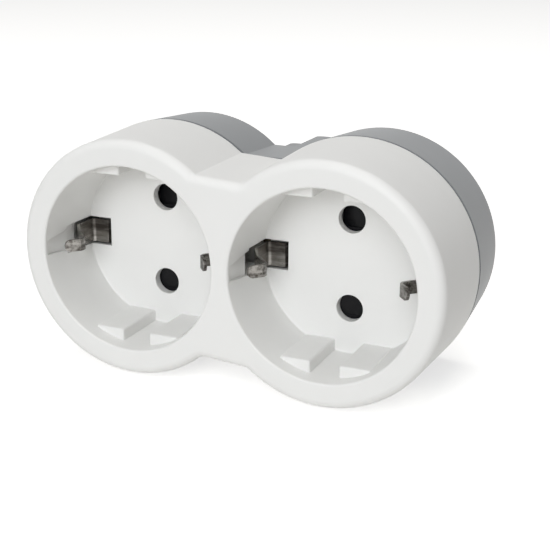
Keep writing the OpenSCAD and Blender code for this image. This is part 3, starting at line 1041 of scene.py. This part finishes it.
    def posts(self, side: int) -> list[Solid]:
        """Post, studs and screw bosses behind one well.

        Args:
            side: Side of the case, -1 or 1.

        Returns:
            The solids to add.
        """
        x = side * SIZES.socket_x
        root = self.floor_back - self.floor_t / 2
        made = [
            Solid.turned([(self.post_r, root), (self.post_r, self.post_end),
                          (self.post_tip_r, self.post_end), (self.post_tip_r, self.tip_end)],
                         x, 0.0, SMALL_STEPS),
        ]
        for end in (-1, 1):
            z = end * SIZES.screw_dz
            made.append(Solid.turned(
                [(self.stud_r, root), (self.stud_r, self.post_end),
                 (self.stud_tip_r, self.post_end), (self.stud_tip_r, self.tip_end)],
                x - side * SIZES.screw_dx, z, SMALL_STEPS))
            made.append(Solid.rod(self.boss_r, root, self.boss_end,
                                  x + side * SIZES.screw_dx, z))
        return made

    def build(self) -> bpy.types.Object:
        """Builds the shell.

        Returns:
            The piece.
        """
        shell = self.outer().minus(self.cavity())
        for side in (-1, 1):
            x = side * SIZES.socket_x
            shell.plus(Solid.rod(SIZES.well_r + self.cup_wall, self.face_t / 2,
                                 self.floor_back, x, 0.0, ROUND_STEPS))
            shell.plus(*self.posts(side))
        shell.plus(Solid.block((-self.web_w, self.web_w), (-self.web_h, self.web_h),
                               self.face_t / 2, self.floor_back))
        for side in (-1, 1):
            x = side * SIZES.socket_x
            space = self.well(x)
            for across in (-1, 1):
                for end in (-1, 1):
                    space.minus(self.rib(x, across, end))
            shell.minus(space)
            for across in (-1, 1):
                shell.minus(*self.clip_slot(x, across))
                shell.minus(self.pin_hole(x, across * SIZES.pin_z))
                shell.minus(Solid.rod(
                    SIZES.screw_r + self.thread_gap, self.screw_tip, self.boss_end + OVERRUN,
                    x + side * SIZES.screw_dx, across * SIZES.screw_dz))
        return finished(shell, "front_shell", WHITE, Body.CASING, ["front_cover"])


@dataclass
class BackShell:
    """Grey back shell with its plug body, grooves, notches and screw wells."""

    case_depth: float = 40.0
    edge_r: float = 1.0
    lobe_draft: float = 1.15
    waist_draft: float = 1.0
    corner_r: float = 0.35
    groove_w: float = 0.9
    groove_d: float = 0.45
    back_t: float = 2.0
    lip_root: float = 2.0
    lip_t: float = 1.1
    lip_gap: float = 0.1
    plug_play: float = 1.85
    plug_edge_r: float = 1.0
    plug_face_t: float = 2.5
    notch_in: float = 2.2
    notch_out: float = 9.7
    notch_drop: float = 4.3
    notch_edge_r: float = 0.3
    plug_wall: float = 2.1
    contact_x: float = 16.4
    contact_t: float = 0.9
    contact_h: float = 2.4
    groove_h: float = 3.1
    root_r: float = 2.75
    flange_t: float = 1.2
    pin_boss_r: float = 4.2
    screw_sink: float = 5.0
    boss_h: float = 5.0
    boss_r: float = 3.0
    sink_r: float = 3.2
    sink_wall: float = 1.2
    play: float = 0.3
    cradle_in: float = 15.0
    cradle_out: float = 27.0
    cradle_t: float = 1.2
    cradle_h: float = 2.4
    bus_h: float = 3.0

    @property
    def plug_r(self) -> float:
        """Radius of the plug body."""
        return SIZES.well_r - self.plug_play

    @property
    def plug_end(self) -> float:
        """Depth of the plug's seating face, which is the origin."""
        return SIZES.depth_of(0.0)

    @property
    def back_inside(self) -> float:
        """Depth of the back wall's inner face."""
        return self.case_depth - self.back_t

    @property
    def parting_r(self) -> float:
        """Radius of a lobe at the parting line."""
        return SIZES.parting_r - SIZES.shell_step

    @property
    def parting_waist(self) -> float:
        """Half height of the waist at the parting line."""
        return self.parting_r - SIZES.waist_drop

    def outer(self) -> Solid:
        """Outside of the shell: groove, drafted sides and rounded back edge.

        Returns:
            The solid block.
        """
        start = SIZES.front_depth
        layers = [(start, self.groove_d, self.groove_d),
                  (start + self.groove_w, self.groove_d, self.groove_d),
                  (start + self.groove_w, 0.0, 0.0)]
        for rise, back in quarter():
            inset = self.edge_r * back
            layers.append((self.case_depth - self.edge_r * (1 - rise),
                           self.lobe_draft + inset, self.waist_draft + inset))
        return Solid.stacked([
            (depth, twin_outline(self.parting_r - lobe_in, self.parting_waist - waist_in,
                                 self.corner_r))
            for depth, lobe_in, waist_in in layers
        ])

    def lip(self) -> Solid:
        """Ring that locates the shell inside the front shell.

        Returns:
            The ring.
        """
        lobe = SIZES.cavity_r - self.lip_gap
        waist = SIZES.waist_h - SIZES.case_wall - self.lip_gap
        near = SIZES.front_depth - SIZES.lip_h
        far = SIZES.front_depth + self.lip_root
        ring = Solid.slab(twin_outline(lobe, waist, self.corner_r), near, far)
        hollow = twin_outline(lobe - self.lip_t, waist - self.lip_t, self.corner_r)
        return ring.minus(Solid.slab(hollow, near - OVERRUN, far + OVERRUN))

    def cavity(self) -> Solid:
        """Hollow of the shell.

        Returns:
            The space as a solid.
        """
        inset = self.lip_gap + self.lip_t / 2
        outline = twin_outline(SIZES.cavity_r - inset,
                               SIZES.waist_h - SIZES.case_wall - inset, self.corner_r)
        return Solid.slab(outline, SIZES.front_depth - OVERRUN, self.back_inside)

    def plug(self) -> Solid:
        """Round plug body with its notches and side grooves.

        Returns:
            The solid plug body.
        """
        profile = [(self.plug_r, self.back_inside)]
        profile += [
            (self.plug_r - self.plug_edge_r * back, self.plug_end - self.plug_edge_r * (1 - rise))
            for rise, back in quarter()
        ]
        body = Solid.turned(profile, 0.0, 0.0, ROUND_STEPS)
        floor_z = SIZES.well_r - self.notch_drop
        for side in (-1, 1):
            near_x, far_x = sorted((side * self.notch_in, side * self.notch_out))
            for end in (-1, 1):
                low, high = sorted((end * floor_z, end * (self.plug_r + OVERRUN)))
                outline = rounded_rectangle(near_x, far_x, low, high, self.notch_edge_r)
                body.minus(Solid.slab(outline, self.case_depth, self.plug_end + OVERRUN))
            low_x, high_x = sorted((side * (self.contact_x - self.lip_gap),
                                    side * (self.plug_r + OVERRUN)))
            body.minus(Solid.block((low_x, high_x), (-self.groove_h, self.groove_h),
                                   self.case_depth, self.plug_end + OVERRUN))
        return body

    def hollow(self) -> list[Solid]:
        """Hollow of the plug body and the bores for its two pins.

        Returns:
            The spaces to cut.
        """
        bore_r = SIZES.well_r - self.notch_drop - self.plug_wall
        space = Solid.rod(bore_r, self.back_inside - OVERRUN,
                          self.plug_end - self.plug_face_t, 0.0, 0.0, ROUND_STEPS)
        bores = []
        for end in (-1, 1):
            z = end * SIZES.pin_z
            space.minus(Solid.rod(self.pin_boss_r, self.back_inside + self.flange_t,
                                  self.plug_end, 0.0, z))
            bores.append(Solid.rod(self.root_r, self.back_inside, self.plug_end + OVERRUN,
                                   0.0, z))
        return [space, *bores]

    def build(self) -> bpy.types.Object:
        """Builds the shell.

        Returns:
            The piece.
        """
        seat = self.case_depth - self.screw_sink
        shell = self.outer().minus(self.cavity()).plus(self.lip(), self.plug())
        places = [(side * (SIZES.socket_x + SIZES.screw_dx), end * SIZES.screw_dz)
                  for side in (-1, 1) for end in (-1, 1)]
        for x, z in places:
            shell.plus(
                Solid.rod(self.sink_r + self.sink_wall, seat - self.sink_wall,
                          self.case_depth - self.edge_r, x, z),
                Solid.rod(self.boss_r, seat - self.boss_h, seat, x, z))
        for side in (-1, 1):
            for end in (-1, 1):
                for edge in (-1, 1):
                    z = end * SIZES.pin_z
                    wall = z + edge * (self.bus_h + self.play + self.cradle_t / 2)
                    across = sorted((side * self.cradle_in, side * self.cradle_out))
                    shell.plus(Solid.block(
                        (across[0], across[1]),
                        (wall - self.cradle_t / 2, wall + self.cradle_t / 2),
                        self.back_inside - self.cradle_h, self.back_inside + self.back_t / 2))
        shell.minus(*self.hollow())
        for x, z in places:
            shell.minus(
                Solid.rod(SIZES.screw_r + self.play, seat - self.boss_h - OVERRUN,
                          seat + OVERRUN, x, z),
                Solid.rod(self.sink_r, seat, self.case_depth + OVERRUN, x, z))
        for side in (-1, 1):
            low, high = sorted((side * (self.contact_x - self.lip_gap),
                                side * (self.contact_x + self.contact_t + self.lip_gap)))
            height = self.contact_h + self.lip_gap
            shell.minus(Solid.block((low, high), (-height, height),
                                    self.back_inside - OVERRUN, self.case_depth + OVERRUN))
        return finished(shell, "back_shell", GREY, Body.CASING, ["rear_cover"])


@dataclass
class PlugPins:
    """Two solid plug pins with smooth rounded noses."""

    pin_r: float = 2.4
    root_r: float = 2.7
    flange_r: float = 3.4
    flange_t: float = 1.2
    nose: float = 2.0
    flat_r: float = 0.9
    stem_r: float = 1.1
    head_r: float = 1.9
    head_t: float = 0.5
    bus_t: float = 0.8
    lap: float = 0.2

    def build(self) -> list[bpy.types.Object]:
        """Builds both pins.

        Returns:
            The pieces.
        """
        made = []
        for node, end in (("plug_pin_live", 1), ("plug_pin_neutral", -1)):
            spot, size = middle(node), span(node)
            head = SIZES.depth_of(spot.y - size.y / 2)
            tip = SIZES.depth_of(spot.y + size.y / 2)
            face = SIZES.depth_of(0.0)
            seat = head + self.head_t + self.bus_t
            flange = seat + self.head_t
            profile = [
                (self.head_r, head), (self.head_r, head + self.head_t),
                (self.stem_r, head + self.head_t), (self.stem_r, seat),
                (self.root_r, seat), (self.root_r, flange),
                (self.flange_r, flange), (self.flange_r, flange + self.flange_t),
                (self.root_r, flange + self.flange_t), (self.root_r, face), (self.pin_r, face),
            ]
            fall = self.pin_r - self.flat_r
            profile += [
                (self.pin_r - fall * back, tip - self.nose * (1 - rise))
                for rise, back in quarter(10)
            ]
            solid = Solid.turned(profile, spot.x, end * SIZES.pin_z, SMALL_STEPS)
            made.append(finished(solid, f"{node}_dressed", NICKEL, Body.CASING, [node]))
        return made


class Recipe:
    """A Geometry Nodes tree with named inputs, run once on a base mesh."""

    def __init__(self, name: str, inputs: dict[str, str]) -> None:
        """Starts a tree.

        Args:
            name: Name of the tree.
            inputs: Socket type of each named input.
        """
        self.tree = bpy.data.node_groups.new(name, "GeometryNodeTree")
        self.bench = Bench(self.tree)
        self.keys: dict[str, str] = {}
        self.tree.interface.new_socket("Geometry", in_out="INPUT",
                                       socket_type="NodeSocketGeometry")
        for label, kind in {**inputs, "Finish": "NodeSocketMaterial"}.items():
            made = self.tree.interface.new_socket(label, in_out="INPUT", socket_type=kind)
            self.keys[label] = made.identifier
        self.tree.interface.new_socket("Geometry", in_out="OUTPUT",
                                       socket_type="NodeSocketGeometry")
        self.entry = self.bench.node("NodeGroupInput")

    def given(self, label: str) -> Wire:
        """A named input as a wire."""
        return self.bench.other(self.entry, label)

    def close(self, shape: Wire) -> None:
        """Ends the tree with real geometry and its material.

        Args:
            shape: The geometry to hand out.
        """
        bench = self.bench
        real = bench.node("GeometryNodeRealizeInstances", None, {"Geometry": shape})
        dressed = bench.node("GeometryNodeSetMaterial", None,
                             {"Geometry": real, "Material": self.given("Finish")})
        bench.node("NodeGroupOutput", None, {"Geometry": dressed})

    def run(self, base: bpy.types.Mesh, values: dict[str, object]) -> Solid:
        """Runs the tree on a base mesh.

        Args:
            base: Points or edges that the tree starts from.
            values: Value of each named input.

        Returns:
            The result as a plain solid.
        """
        solid = Solid(base)
        modifier = solid.object.modifiers.new("recipe", "NODES")
        modifier.node_group = self.tree
        for label, value in values.items():
            modifier[self.keys[label]] = value
        solid.settle()
        return solid


def path_mesh(points: Sequence[Vector]) -> bpy.types.Mesh:
    """A mesh of edges through a line of points.

    Args:
        points: The points in metres.

    Returns:
        The mesh.
    """
    mesh = bpy.data.meshes.new("path")
    edges = [(i, i + 1) for i in range(len(points) - 1)]
    mesh.from_pydata([tuple(point) for point in points], edges, [])
    return mesh


@dataclass
class EarthClips:
    """Two bent spring strips whose tongues press on a plug's earth contacts."""

    strip_t: float = 0.6
    strip_h: float = 2.6
    tongue_h: float = 1.3
    shoulder: float = 1.0
    leg_bend_r: float = 0.05
    foot_bend_r: float = 1.1
    arm_bend_r: float = 0.8
    leg_in: float = 5.2
    arm_set: float = 0.7
    nose_set: float = 5.1
    tip_set: float = 2.75
    base_depth: float = 24.4
    foot_depth: float = 18.0
    bend_depth: float = 12.0
    nose_back: float = 7.4
    nose_front: float = 6.2
    tip_depth: float = 3.5
    steps: int = 560
    columns: int = 9
    bend_steps: int = 8
    weld: float = 0.001

    BEND: ClassVar[str] = "bend_radius"

    def arm(self) -> list[Triple]:
        """Path of one arm.

        Returns:
            Distance from the socket's axis, depth and bend radius of each corner.
        """
        leg = SIZES.well_r - self.leg_in
        wall = SIZES.well_r - self.arm_set
        nose = SIZES.well_r - self.nose_set
        tight, wide = self.leg_bend_r, self.arm_bend_r
        return [
            (leg, self.base_depth, wide), (leg, self.foot_depth, tight),
            (wall, self.foot_depth, self.foot_bend_r), (wall, self.bend_depth, wide),
            (nose, self.nose_back, wide), (nose, self.nose_front, wide),
            (SIZES.well_r - self.tip_set, self.tip_depth, wide),
        ]

    def recipe(self) -> Recipe:
        """Tree that sweeps a tapering strip along a bent path.

        Returns:
            The recipe.
        """
        number = "NodeSocketFloat"
        recipe = Recipe("bent_strip", {
            "Strip half height": number, "Tongue half height": number,
            "Thickness": number, "Taper start": number, "Taper end": number,
            "Steps": "NodeSocketInt", "Columns": "NodeSocketInt",
        })
        bench = recipe.bench
        line = bench.node("GeometryNodeMeshToCurve", None, {"Mesh": recipe.given("Geometry")})
        radius = bench.node("GeometryNodeInputNamedAttribute", None, {"Name": self.BEND})
        bent = bench.node("GeometryNodeFilletCurve", {"mode": "POLY"}, {
            "Curve": line, "Count": self.bend_steps, "Radius": radius, "Limit Radius": True,
        })
        length = bench.node("GeometryNodeCurveLength", None, {"Curve": bent})
        grid = bench.node("GeometryNodeMeshGrid", None, {
            "Size X": 1.0, "Size Y": 2.0, "Vertices X": recipe.given("Steps"),
            "Vertices Y": recipe.given("Columns"),
        })
        cell = bench.node("ShaderNodeSeparateXYZ", None,
                          {0: bench.node("GeometryNodeInputPosition")}, "X")
        along = (cell + 0.5) * length
        spot = bench.node("GeometryNodeSampleCurve", {"mode": "LENGTH"},
                          {"Curves": bent, "Length": along}, "Position")
        spot_x = bench.node("ShaderNodeSeparateXYZ", None, {0: spot}, "X")
        spot_y, spot_z = bench.other(spot_x, "Y"), bench.other(spot_x, "Z")
        tongue = recipe.given("Tongue half height")
        taper = bench.node("ShaderNodeMapRange", None, {
            "Value": spot_y, "From Min": recipe.given("Taper start"),
            "From Max": recipe.given("Taper end"),
            "To Min": recipe.given("Strip half height"), "To Max": tongue,
        })
        to_end = along.least(length - along)
        flat = 1 - (to_end / tongue).least(1.0)
        half = taper * (1 - flat * flat).most(0.0) ** 0.5
        place = bench.node("ShaderNodeCombineXYZ", None,
                           {0: spot_x, 1: spot_y, 2: spot_z + bench.other(cell, "Y") * half})
        face = bench.node("GeometryNodeSetPosition", None, {"Geometry": grid, "Position": place})
        thickness = recipe.given("Thickness")
        away = bench.node("ShaderNodeVectorMath", {"operation": "SCALE"},
                          {0: bench.node("GeometryNodeInputNormal"), "Scale": thickness * -0.5})
        inner = bench.node("GeometryNodeSetPosition", None, {"Geometry": face, "Offset": away})
        outer = bench.node("GeometryNodeExtrudeMesh", {"mode": "FACES"}, {
            "Mesh": inner, "Offset Scale": thickness, "Individual": False,
        })
        under = bench.node("GeometryNodeFlipFaces", None, {"Mesh": inner})
        both = bench.node("GeometryNodeJoinGeometry", None, {"Geometry": outer})
        bench.tree.links.new(under.socket, both.socket.node.inputs[0])
        whole = bench.node("GeometryNodeMergeByDistance", None,
                           {"Geometry": both, "Distance": self.weld * MM})
        recipe.close(whole)
        return recipe

    def build(self) -> list[bpy.types.Object]:
        """Builds both clips.

        Returns:
            The pieces.
        """
        recipe = self.recipe()
        made = []
        for side in Side:
            x = side.value * SIZES.socket_x
            arm = self.arm()
            line = [(x - out, depth, bend) for out, depth, bend in reversed(arm)]
            line += [(x + out, depth, bend) for out, depth, bend in arm]
            base = path_mesh([SIZES.place(across, depth, 0.0) for across, depth, _ in line])
            bends = base.attributes.new(self.BEND, "FLOAT", "POINT")
            for stored, (_, _, bend) in zip(bends.data, line):
                stored.value = bend * MM
            solid = recipe.run(base, {
                "Strip half height": self.strip_h * MM,
                "Tongue half height": self.tongue_h * MM, "Thickness": self.strip_t * MM,
                "Taper start": (SIZES.front_y + self.bend_depth) * MM,
                "Taper end": (SIZES.front_y + self.bend_depth - self.shoulder) * MM,
                "Steps": self.steps, "Columns": self.columns,
                "Finish": SPRING_STRIP.material(),
            })
            made.append(finished(solid, f"earth_strip_{side.word}", SPRING_STRIP, Body.CASING,
                                 [f"earth_clip_{side.word}"]))
        return made


@dataclass
class Fasteners:
    """Four cross headed screws in the counterbores of the back shell."""

    head_r: float = 2.9
    head_t: float = 2.0
    chamfer: float = 0.5
    slot_w: float = 0.9
    slot_d: float = 1.1
    shank_steps: int = 48
    head_steps: int = 64
    lap_share: float = 0.5

    @staticmethod
    def raised(bench: Bench, shape: Wire, z: Value) -> Wire:
        """Lifts a shape along the screw's own axis."""
        lift = bench.node("ShaderNodeCombineXYZ", None, {2: z})
        return bench.node("GeometryNodeTransform", None, {"Geometry": shape, "Translation": lift})

    def recipe(self) -> Recipe:
        """Tree that puts a cross headed screw on every point.

        Returns:
            The recipe.
        """
        number = "NodeSocketFloat"
        recipe = Recipe("cross_screws", {
            "Shank radius": number, "Shank length": number, "Head radius": number,
            "Head height": number, "Chamfer": number, "Slot width": number,
            "Slot depth": number,
        })
        bench = recipe.bench
        given = recipe.given
        high, cut = given("Head height"), given("Chamfer")
        shank_length = given("Shank length")
        lap = cut * self.lap_share
        shank = self.raised(bench, bench.node("GeometryNodeMeshCylinder", None, {
            "Vertices": self.shank_steps, "Radius": given("Shank radius"),
            "Depth": shank_length + lap,
        }), (shank_length - lap) * -0.5)
        head = self.raised(bench, bench.node("GeometryNodeMeshCylinder", None, {
            "Vertices": self.head_steps, "Radius": given("Head radius"), "Depth": high - cut,
        }), (high - cut) * 0.5)
        crown = self.raised(bench, bench.node("GeometryNodeMeshCone", None, {
            "Vertices": self.head_steps, "Radius Bottom": given("Head radius"),
            "Radius Top": given("Head radius") - cut, "Depth": cut,
        }), high - cut)
        solid = bench.node("GeometryNodeMeshBoolean",
                           {"operation": "UNION", "solver": "MANIFOLD"}, {"Mesh 2": shank})
        for part in (head, crown):
            bench.tree.links.new(part.socket, solid.socket.node.inputs["Mesh 2"])
        reach, width = given("Head radius"), given("Slot width")
        deep = given("Slot depth")
        bars = []
        for sizes in ({0: reach, 1: width, 2: deep * 2}, {0: width, 1: reach, 2: deep * 2}):
            size = bench.node("ShaderNodeCombineXYZ", None, sizes)
            bar = bench.node("GeometryNodeMeshCube", None, {"Size": size})
            bars.append(self.raised(bench, bar, high))
        cross = bench.node("GeometryNodeMeshBoolean",
                           {"operation": "DIFFERENCE", "solver": "MANIFOLD"},
                           {"Mesh 1": solid, "Mesh 2": bars[0]})
        bench.tree.links.new(bars[1].socket, cross.socket.node.inputs["Mesh 2"])
        turn = bench.node("FunctionNodeEulerToRotation", None, {0: (-RIGHT_ANGLE, 0.0, 0.0)})
        set_out = bench.node("GeometryNodeInstanceOnPoints", None, {
            "Points": given("Geometry"), "Instance": cross, "Rotation": turn,
        })
        recipe.close(set_out)
        return recipe

    def build(self) -> bpy.types.Object:
        """Builds the screws as one piece.

        Returns:
            The piece.
        """
        nodes = [f"case_screw_{side.word}_{end}" for side in Side for end in ("top", "bottom")]
        size = span(nodes[0])
        seats = [middle(node) + Vector((0.0, size.y / 2 - self.head_t, 0.0)) for node in nodes]
        base = bpy.data.meshes.new("seats")
        base.from_pydata([tuple(seat * MM) for seat in seats], [], [])
        solid = self.recipe().run(base, {
            "Shank radius": SIZES.screw_r * MM, "Shank length": (size.y - self.head_t) * MM,
            "Head radius": self.head_r * MM, "Head height": self.head_t * MM,
            "Chamfer": self.chamfer * MM, "Slot width": self.slot_w * MM,
            "Slot depth": self.slot_d * MM, "Finish": ZINC.material(),
        })
        return finished(solid, "case_screws", ZINC, Body.CASING, nodes)


@dataclass
class ShutterSprings:
    """Wire torsion springs that bring the shutters back."""

    wire_r: float = 0.2
    coil_r: float = 3.0
    turns: float = 2.25
    pitch: float = 0.45
    steps: int = 48
    leg: float = 2.4
    front: float = 21.3
    wire_steps: int = 16

    def points(self, x: float) -> list[Vector]:
        """Path of one spring.

        Args:
            x: Place of its socket's axis.

        Returns:
            The points in metres.
        """
        rise = self.front + self.wire_r
        count = int(self.turns * self.steps)
        coil = []
        for i in range(count + 1):
            turn = 2 * math.pi * i / self.steps
            coil.append((self.coil_r * math.cos(turn), rise + self.pitch * i / self.steps,
                         self.coil_r * math.sin(turn)))
        start = (self.coil_r + self.leg, rise, -self.coil_r / 2)
        last = coil[-1]
        end = (last[0] - self.leg, last[1], last[2] + self.coil_r / 2)
        return [SIZES.place(x + across, depth, z) for across, depth, z in [start, *coil, end]]

    def recipe(self) -> Recipe:
        """Tree that runs a round wire along a path.

        Returns:
            The recipe.
        """
        recipe = Recipe("round_wire", {"Wire radius": "NodeSocketFloat"})
        bench = recipe.bench
        line = bench.node("GeometryNodeMeshToCurve", None, {"Mesh": recipe.given("Geometry")})
        ring = bench.node("GeometryNodeCurvePrimitiveCircle", {"mode": "RADIUS"},
                          {"Resolution": self.wire_steps, "Radius": recipe.given("Wire radius")})
        wire = bench.node("GeometryNodeCurveToMesh", None,
                          {"Curve": line, "Profile Curve": ring, "Fill Caps": True})
        recipe.close(wire)
        return recipe

    def build(self) -> list[bpy.types.Object]:
        """Builds both springs.

        Returns:
            The pieces.
        """
        recipe = self.recipe()
        made = []
        for side in Side:
            solid = recipe.run(path_mesh(self.points(side.value * SIZES.socket_x)), {
                "Wire radius": self.wire_r * MM, "Finish": SPRING_WIRE.material(),
            })
            made.append(finished(solid, f"return_spring_{side.word}", SPRING_WIRE, side.body,
                                 [f"shutter_spring_{side.word}"]))
        return made


@dataclass
class Shutters:
    """Black shutters with softened edges, on their own bodies."""

    merge: float = 0.001
    flat_angle: float = 0.5

    def build(self) -> list[bpy.types.Object]:
        """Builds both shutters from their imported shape.

        Returns:
            The pieces.
        """
        made = []
        for side in Side:
            node = f"shutter_{side.word}"
            solid = Solid(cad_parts[node].data.copy())
            shape = bmesh.new()
            shape.from_mesh(solid.object.data)
            bmesh.ops.remove_doubles(shape, verts=shape.verts, dist=self.merge * MM)
            bmesh.ops.dissolve_limit(shape, angle_limit=math.radians(self.flat_angle),
                                     verts=shape.verts, edges=shape.edges)
            shape.to_mesh(solid.object.data)
            shape.free()
            made.append(finished(solid, f"shutter_arm_{side.word}", BLACK, side.body, [node]))
        return made


class InnerPieces:
    """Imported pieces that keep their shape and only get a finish."""

    FINISHES: ClassVar[dict[str, Finish]] = {
        "shutter_retainer": NATURAL,
        # The earth bar's brass carries painted shade.
        "earth_bar": SHADE_DARKENED_BRASS,
        "earth_rivet": BRASS_STRIP,
        "live_": BRASS_STRIP,
        "neutral_": BRASS_STRIP,
        "plug_earth_contact": NICKEL,
    }

    def dress(self) -> None:
        """Gives every such node its finish."""
        for node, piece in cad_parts.items():
            for start, finish in self.FINISHES.items():
                if node.startswith(start):
                    piece.data.materials.clear()
                    piece.data.materials.append(finish.material())
                    LOG.info("%s gets %s", node, finish.name)


@dataclass(frozen=True)
class Lamp:
    """One square soft lamp, in metres and watts."""

    name: str
    place: Triple
    size: float
    watts: float
    colour: Triple

    def hang(self, target: Triple) -> None:
        """Hangs the lamp in the scene.

        Args:
            target: Point that it is aimed at, in metres.
        """
        data = bpy.data.lights.new(self.name, "AREA")
        data.size = self.size
        data.energy = self.watts
        data.color = self.colour
        lamp = bpy.data.objects.new(self.name, data)
        aim = Vector(target) - Vector(self.place)
        lamp.rotation_euler = aim.to_track_quat("-Z", "Y").to_euler()
        lamp.location = self.place
        bpy.context.scene.collection.objects.link(lamp)


LAMPS = (
    Lamp("key", (0.2, -1.1, 0.6), 0.6, 5.6, (0.965, 0.98, 1.0)),
    Lamp("front", (-0.05, -1.3, 0.32), 0.5, 3.3, (0.945, 0.972, 1.0)),
    Lamp("top", (0.0, -0.1, 1.2), 0.9, 6.8, (1.0, 0.99, 0.97)),
)


@dataclass
class Studio:
    """Pale floor, white surround, soft lamps and the camera."""

    floor_size: float = 6.0
    floor_gap: float = 0.0001
    floor_colour: Triple = (0.86, 0.85, 0.83)
    floor_lift: float = 0.65
    world_strength: float = 0.08
    place: Triple = (101.96, -260.16, 72.29)
    azimuth: float = 23.863
    elevation: float = 17.706
    roll: float = 0.483
    lens: float = 78.357
    sensor: float = 36.0
    clip_near: float = 0.01
    clip_far: float = 20.0
    floor_dark_share: float = 0.98
    floor_cloud_scale: float = 3.0
    lamp_target: Triple = (0.0, -0.035, 0.0)

    def camera(self) -> None:
        """Makes the camera that looks at both sockets from the right and above."""
        turn, rise = math.radians(self.azimuth), math.radians(self.elevation)
        back = Vector((math.sin(turn) * math.cos(rise), -math.cos(turn) * math.cos(rise),
                       math.sin(rise)))
        level = Vector((math.cos(turn), math.sin(turn), 0.0))
        upright = back.cross(level)
        tilt = math.radians(self.roll)
        right = level * math.cos(tilt) + upright * math.sin(tilt)
        top = upright * math.cos(tilt) - level * math.sin(tilt)
        data = bpy.data.cameras.new("camera")
        data.lens = self.lens
        data.sensor_width = self.sensor
        data.sensor_fit = "HORIZONTAL"
        data.clip_start = self.clip_near
        data.clip_end = self.clip_far
        seen = bpy.data.objects.new("camera", data)
        seen.matrix_world = Matrix.Translation(Vector(self.place) * MM) @ Matrix(
            (right, top, back)).transposed().to_4x4()
        bpy.context.scene.collection.objects.link(seen)
        bpy.context.scene.camera = seen

    @staticmethod
    def seen_directly(bench: Bench) -> Wire:
        """One for rays from the camera, mirrors and glass, and nought for others.

        Args:
            bench: Bench to make the nodes on.

        Returns:
            The mask.
        """
        path = bench.node("ShaderNodeLightPath", None, None, "Is Camera Ray")
        glossy = bench.other(path, "Is Glossy Ray")
        through = bench.other(path, "Is Transmission Ray")
        return path.most(glossy).most(through)

    def world(self) -> None:
        """White surround that lights the object at a plain level."""
        world = bpy.data.worlds.new("surround")
        world.use_nodes = True
        bench = Bench(world.node_tree)
        seen = self.seen_directly(bench)
        strength = seen * (1 - self.world_strength) + self.world_strength
        light = bench.node("ShaderNodeBackground", None,
                           {"Color": (1.0, 1.0, 1.0, 1.0), "Strength": strength})
        bench.node("ShaderNodeOutputWorld", None, {"Surface": light})
        bpy.context.scene.world = world

    def floor(self) -> None:
        """Plain pale floor under the object."""
        low, high = (Vector(corner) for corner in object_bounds())
        centre = (low + high) / 2
        half = self.floor_size / 2
        mesh = bpy.data.meshes.new("floor")
        corners = [(-half, -half), (half, -half), (half, half), (-half, half)]
        mesh.from_pydata([(centre.x + x, centre.y + y, low.z - self.floor_gap)
                          for x, y in corners], [], [(0, 1, 2, 3)])
        material = bpy.data.materials.new("pale_floor")
        material.use_nodes = True
        bench = Bench(material.node_tree)
        spot = bench.node("ShaderNodeTexCoord", None, None, "Object")
        cloud = bench.node("ShaderNodeTexNoise", None,
                           {"Vector": spot, "Scale": self.floor_cloud_scale})
        dark = tuple(part * self.floor_dark_share for part in self.floor_colour)
        shade = Finish.tint(bench, dark, self.floor_colour, cloud)
        matt = bench.node("ShaderNodeBsdfDiffuse", None, {"Color": shade})
        glow = bench.node("ShaderNodeEmission", None, {
            "Color": (1.0, 1.0, 1.0, 1.0), "Strength": self.seen_directly(bench) * self.floor_lift,
        })
        both = bench.node("ShaderNodeAddShader", None, {0: matt, 1: glow})
        bench.node("ShaderNodeOutputMaterial", None, {"Surface": both})
        mesh.materials.append(material)
        ground = bpy.data.objects.new("floor", mesh)
        bpy.context.scene.collection.objects.link(ground)
        ground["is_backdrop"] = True

    def build(self) -> None:
        """Sets up the whole studio."""
        self.camera()
        self.world()
        self.floor()
        for lamp in LAMPS:
            lamp.hang(self.lamp_target)
        bpy.context.scene.view_settings.view_transform = "Standard"


def main() -> None:
    """Builds every piece in order."""
    logging.basicConfig(level=logging.INFO, format="%(message)s")
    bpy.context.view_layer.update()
    FrontShell().build()
    BackShell().build()
    PlugPins().build()
    EarthClips().build()
    Fasteners().build()
    ShutterSprings().build()
    Shutters().build()
    InnerPieces().dress()
    Studio().build()


if __name__ == "__main__":
    main()
